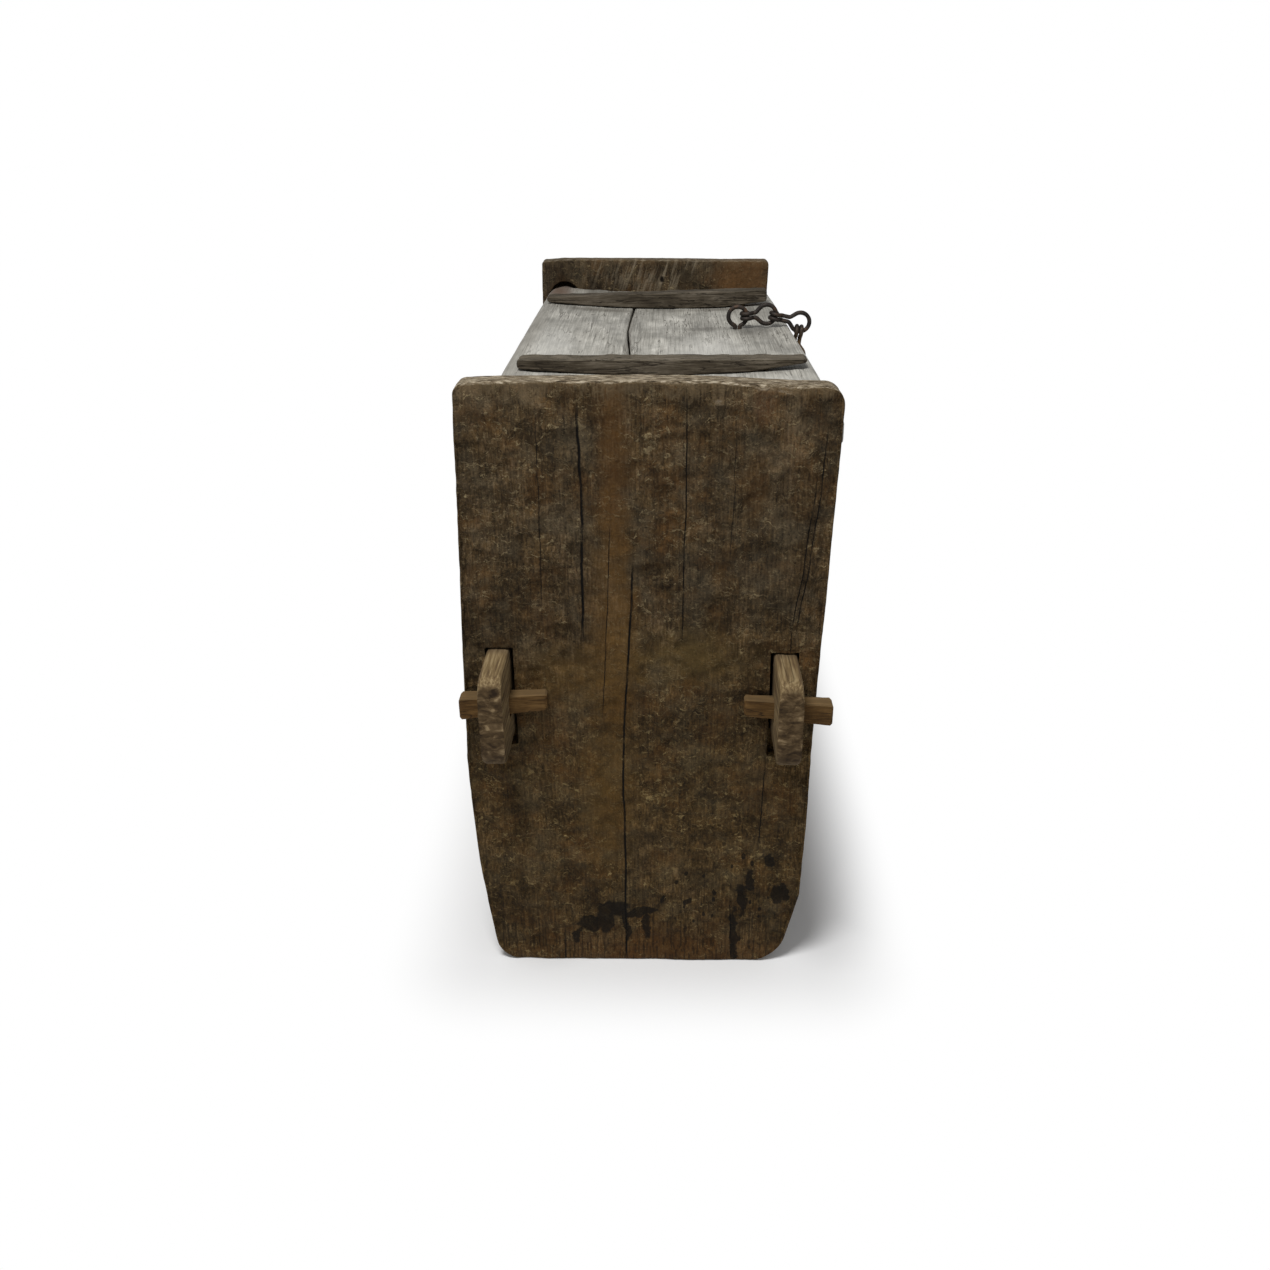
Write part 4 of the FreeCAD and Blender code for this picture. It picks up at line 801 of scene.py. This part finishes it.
colour = tinted_in_patches(add, where, colour, stains_and_painted_light, 0.8, 0.8, 0.04)
# below its weathered skin, on the underside and the edges, the wood is browner
level = add("SeparateXYZ", where)["Z"]
under = add("MapRange", level, 0.836, 0.822, 0, 0.75)
colour = mark(add, colour, "5e4f3c", 1, under)
grey_wood = dress(material, colour, height, 0.0006, 0.5, 0.4, cuts=checks, depth=0.8)

SEAM_ROUNDS = (0.004, 0.002)
EDGE_ROUNDS = (0.008, 0.008)
shells = [plank_rings(lambda y: -0.2405 + 0 * y, lambda y: seam_edge(y, -1), (0, 0), SEAM_ROUNDS, 80)]
for end in (-1, 1):
    stations = end * np.array([0.56, 0.58, 0.595, 0.606, 0.6088, 0.61, 0.6105])
    radius = PINTLE[2] - np.array([0, 0, 0, 0, 0.0006, 0.0018, 0.0035])
    half = np.stack([radius, radius], 1)
    shells.append(beam(1, stations, PINTLE[:2], half, radius, rounded_section(2, 1, 14)))
place("lid_rear_plank", "grey", shells, "lid", grey_wood)
rings = plank_rings(lambda y: seam_edge(y, 1), front_edge, SEAM_ROUNDS, EDGE_ROUNDS, 90)
place("lid_front_plank", "grey", [rings], "lid", grey_wood)

# --------------------
# The battens: two hewn cross bars that keep the lid planks together. Each is pegged from below, and its
# ends have lifted a little off the dished lid.

BATTEN_HALF = 0.022
BENT = 0.09  # length of each end that lifts

tones = ("241d15", "494135", "70675a")
material, add, where, colour, height = timber("hewn_grey_brown_batten", tones, 0, (0.0022, 0.05), 0.03, 0.5)
splits = hair_cracks(add, where, (7, 110, 110), 0.01, 4, 0.6)
# the upward faces are painted paler, more so on the near batten: rubbed wear and painted light from above
worn = add("MapRange", facing(add)["Z"], 0.35, 0.85)
along = add("SeparateXYZ", where)["Y"]
near = add("MapRange", along, 0.1, -0.1, 0.12, 0.27)
colour = mark(add, colour, "8b8272", 1, worn, near)
colour = mark(add, colour, "1a130c", 0.75, splits)
batten_wood = dress(material, colour, height, 0.0014, cuts=splits, depth=0.8)

for name, near_side, ends, tops, lifts, seed in (
    ("lid_batten_near", -0.2625, (-0.208, 0.243), (0.866, 0.865), (0.001, 0.008), 300),
    ("lid_batten_far", 0.3465, (-0.218, 0.228), (0.868, 0.879), (0.001, 0.007), 320),
):
    inset = np.array([0, 0.6, 1.8, 3.5, 6, 9]) / 1000
    run = np.linspace(ends[0] + 0.013, ends[1] - 0.013, 88)
    x = np.concatenate([ends[0] + inset, run, ends[1] - inset[::-1]])
    top = tops[0] + (tops[1] - tops[0]) * (x - ends[0]) / (ends[1] - ends[0])
    base = dish(x, near_side)
    for tip, lift, inwards in zip(ends, lifts, (1, -1)):
        foot = tip + inwards * BENT
        beyond = np.clip((foot - x) * inwards / BENT, 0, 1)
        high, low = dish(tip, near_side) + lift, dish(foot, near_side)
        base = np.where(beyond > 0, beyond * (high - low) + low, base)
    shrink = rounded_down(np.minimum(x - ends[0], ends[1] - x), 0.005)
    centre = np.stack([np.full_like(x, near_side + BATTEN_HALF), (top + base) / 2], 1)
    half = np.stack([BATTEN_HALF - shrink, (top - base) / 2 - shrink * 0.8], 1)

    def hewn(points, out):
        cuts = scoops(points[..., 0], points[..., 1], 0.03, 0.05, seed) * np.clip(out[..., 2], 0, 1)
        waves = wear(0.0008, points, (0.035, 0.02, 0.02), seed) + wear(0.0005, points, 0.008, seed + 1)
        return (waves + 0.0012 * cuts) * (1 - 0.8 * np.clip(-out[..., 2], 0, 1))

    rings = beam(0, x, centre, half, 0.0035, rounded_section(14, 6, 4), hewn)
    place(name, "hewn", [rings], "lid", batten_wood)

# The pegs that hold the battens show only as round ends on the underside of the lid.
tones = ("33281c", "54442f", "776345")
material, _, _, colour, height = timber("whittled_peg", tones, 2, (0.0015, 0.02), 0.01, 0.4)
peg_wood = dress(material, colour, height, 0.0006)
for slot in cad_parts["batten_pegs"].material_slots:
    slot.material = peg_wood

# --------------------
# The chain hasp: links forged of one bent rod, each an eye, two legs side by side and two curls that hold
# the eye before it. It hangs on a staple in the lid, and a second staple in the front takes the lock.

ROD = 0.004
EYE = 0.017
CURL = 0.009
LEAD = 0.006
LEG_RISE = ROD + 0.0002
LINK_TURN = math.radians(44)  # how far a link's legs bend out to its eye
STAPLE_TURN = math.radians(70)
CHAIN_Y = 0.1135
STAPLE_SPOT = np.array([0.156, CHAIN_Y, 0.8655])
EAST, NORTH, UP = np.eye(3)


def arc(centre, radius, first, last, x_axis, y_axis, steps=24):
    """Points along an arc about centre, in the plane of two unit axes, between two angles."""
    turn = np.linspace(first, last, steps)[:, None]
    return centre + radius * (np.cos(turn) * x_axis + np.sin(turn) * y_axis)


def neck(bend, angle):
    """Bend that leads a leg, which runs along X just off the middle, towards the eye about the origin.
    Beyond the bend the rod runs straight and meets the eye as a tangent."""
    touch = EYE * (UP * math.cos(angle) - EAST * math.sin(angle))
    corner = touch - (EAST / math.tan(angle) + UP) * (touch[2] - LEG_RISE)
    centre = corner - EAST * bend * math.tan(angle / 2) + UP * bend
    return arc(centre, bend, -math.pi / 2, -math.pi / 2 + angle, EAST, UP, 8)


def with_eye(upper, angle):
    """Middle line of a rod: its upper half, the eye, which a tangent at that angle meets, and the mirrored
    half."""
    eye = arc(0, EYE, math.pi / 2 + angle, -math.pi / 2 - angle, EAST, UP, 56)
    return np.concatenate([upper, eye, upper[::-1] * [1, 1, -1]])


def link_path(arm):
    """Middle line of a link's rod. The eye is about the origin, and the bar that it hangs on lies at x =
    -arm."""
    bar = -arm - EYE + math.sqrt(EYE**2 - LEG_RISE**2)
    curl_centre = np.array([bar, 0, LEG_RISE])
    lead_run = math.sqrt((CURL + LEAD) ** 2 - LEAD**2)
    lead_angle = math.atan2(LEAD, lead_run)
    lead_centre = curl_centre + EAST * lead_run - NORTH * LEAD
    curl = arc(curl_centre, CURL, math.radians(50), 2 * math.pi - lead_angle, EAST, NORTH, 40)
    lead = arc(lead_centre, LEAD, math.pi - lead_angle, math.pi / 2, EAST, NORTH, 10)[1:]
    return with_eye(np.concatenate([curl, lead, neck(0.007, LINK_TURN)]), LINK_TURN)


def rod(points, seed, taper=0.0):
    """Rings of a forged rod along points: its thickness varies by a few hundredths, and its tips taper."""
    length = np.concatenate([[0], np.cumsum(np.linalg.norm(np.diff(points, axis=0), axis=1))])
    keep = np.concatenate([[True], np.diff(length) > 1e-7])
    points, length = points[keep], length[keep]
    even = np.linspace(0, length[-1], max(12, int(length[-1] / 0.0012)))
    points = np.stack([np.interp(even, length, points[:, n]) for n in range(3)], 1)
    heading = np.gradient(points, axis=0)
    heading /= np.linalg.norm(heading, axis=1, keepdims=True)
    aside = np.array([0.2, 0.7, 0.7])
    side = aside - heading * (heading @ aside)[:, None]
    side /= np.linalg.norm(side, axis=1, keepdims=True)
    to_tip = np.minimum(even, even[-1] - even)
    radius = ROD - wear(0.04 * ROD, points, 0.006, seed)
    radius = radius * (1 - taper * np.clip(1 - to_tip / 0.014, 0, 1))
    radius = np.where(to_tip < 0.0015, radius * np.sqrt(np.clip(to_tip / 0.0015, 0.05, 1)), radius)
    turn = (np.arange(16)[:, None] + 0.5) / 16 * 2 * math.pi
    ring = side[:, None] * np.cos(turn) + np.cross(heading, side)[:, None] * np.sin(turn)
    return points[:, None] + ring * radius[:, None, None]


def turned(rings, angle, shift):
    """Rings turned about the Y axis, +X towards +Z by angle in radians, and moved."""
    c, s = math.cos(angle), math.sin(angle)
    return rings @ np.array([[c, 0, s], [0, 1, 0], [-s, 0, c]]) + shift


# Forged iron: dark scale with brown rust in the hollows and a dull shine where hands have rubbed it.
iron, add, where = bare("forged_dark_iron")
pits = add("TexNoise", where, Scale=260, Detail=6, Roughness=0.7)
rust = add("TexNoise", where, Scale=55, Detail=5, Roughness=0.65)
scale = add("ValToRGB", rust, stops=[(0.4, "2a2522"), (0.55, "3a322c"), (0.68, "5a4230")])
scale = mark(add, scale, "6f5636", 0.7, region(add, where, (0.262, CHAIN_Y, 0.8), (0.04, 0.04, 0.05), 0.6))
shine = add("MapRange", pits, To_Min=0.42, To_Max=0.8)
bump = add("Bump", Height=pits, Distance=0.0006)
surface = add("BsdfPrincipled", Base_Color=scale, Metallic=0.55, Roughness=shine, Normal=bump)
add("OutputMaterial", surface)

pivot = STAPLE_SPOT
# distance from each link's bar to its eye, and the angle at which it lies or hangs
for number, (arm, angle) in enumerate(((0.036, 3.7), (0.0465, -13.2), (0.044, -97), (0.044, -90)), start=1):
    heading = math.radians(angle)
    pivot = pivot + (arm + EYE) * np.array([math.cos(heading), 0, math.sin(heading)])
    rings = turned(rod(link_path(arm), 400 + number, 0.3), heading, pivot)
    name = f"chain_link_{number}"
    place(name, "forged", [rings], name, iron, crease=70)

lid_staple = with_eye(np.concatenate([[[-0.051, 0, LEG_RISE]], neck(0.0045, STAPLE_TURN)]), STAPLE_TURN)
bow, leg = arc(0, 0.013, math.pi, 0, EAST, UP, 40), np.array([[0.013, 0, -0.049]])
front_staple = np.concatenate([leg * [-1, 1, 1], bow, leg])
for name, body, path, turn, spot in (
    ("lid_staple", "lid", lid_staple, math.pi / 2, STAPLE_SPOT),
    ("front_staple", "chest", front_staple, -math.pi / 2, (0.229, CHAIN_Y + 0.009, 0.745)),
):
    place(name, "forged", [turned(rod(path, 440), turn, spot)], body, iron, crease=70)

# --------------------
# The room: a white floor that keeps the chest's soft shadow, an even white surround and one broad lamp
# above.

WHITE = (1.0, 1.0, 1.0, 1.0)

floor_mesh = bpy.data.meshes.new("floor")
corners = [(-30, -30, -0.0005), (30, -30, -0.0005), (30, 30, -0.0005), (-30, 30, -0.0005)]
floor_mesh.from_pydata(corners, [], [(0, 1, 2, 3)])
ground = bpy.data.objects.new("floor", floor_mesh)
link(ground)
material, add, where = bare("white_floor")
# distance from the chest's footprint, beyond which the floor fades to white
away = add("VectorMath:SUBTRACT", add("VectorMath:ABSOLUTE", where), (0.25, 0.63, 0))
away = add("VectorMath:LENGTH", add("VectorMath:MAXIMUM", away, (0, 0, 0)))
fade = add("MapRange", away["Value"], 0, 0.18, interpolation_type="SMOOTHSTEP")
blank = overlap(add, fade, add("LightPath")["Is Camera Ray"])
chalk = add("BsdfDiffuse", (0.96, 0.96, 0.96, 1))
add("OutputMaterial", add("MixShader", blank, chalk, add("Emission", WHITE, 1)))
floor_mesh.materials.append(material)

world = bpy.data.worlds.new("surround")
bpy.context.scene.world = world
world.use_nodes = True
world.node_tree.nodes.clear()
add = partial(node, world.node_tree)
seen = add("LightPath")["Is Camera Ray"]
soft, white = (add("Background", WHITE, strength) for strength in (0.32, 1))
add("OutputWorld", add("MixShader", seen, soft, white))

lamp = bpy.data.objects.new("broad_lamp", bpy.data.lights.new("broad_lamp", "AREA"))
lamp.data.shape, lamp.data.size, lamp.data.energy = "DISK", 0.9, 66.0
lamp.location = (-0.5, -1.5, 3.1)
lamp.rotation_euler = (math.radians(31), math.radians(-12), 0)
link(lamp)
bpy.context.scene.view_settings.view_transform = "Standard"

# The camera stands before the near end, a little above the lid, and looks down along the chest.
eye = (0.0255, -2.053, 1.2302)
yaw, pitch, roll = -0.0298736, 0.4365804, 0.0109567
ahead = np.array([math.sin(yaw) * math.cos(pitch), math.cos(yaw) * math.cos(pitch), -math.sin(pitch)])
right = np.array([math.cos(yaw), -math.sin(yaw), 0.0])
down = np.cross(ahead, right)
right, down = math.cos(roll) * right + math.sin(roll) * down, -math.sin(roll) * right + math.cos(roll) * down
camera = bpy.data.objects.new("camera", bpy.data.cameras.new("camera"))
camera.matrix_world = Matrix([[right[n], -down[n], -ahead[n], eye[n]] for n in range(3)] + [[0, 0, 0, 1]])
camera.data.sensor_width = 36.0
camera.data.lens = 36.0 * 1150 / 1270
link(camera)
bpy.context.scene.camera = camera
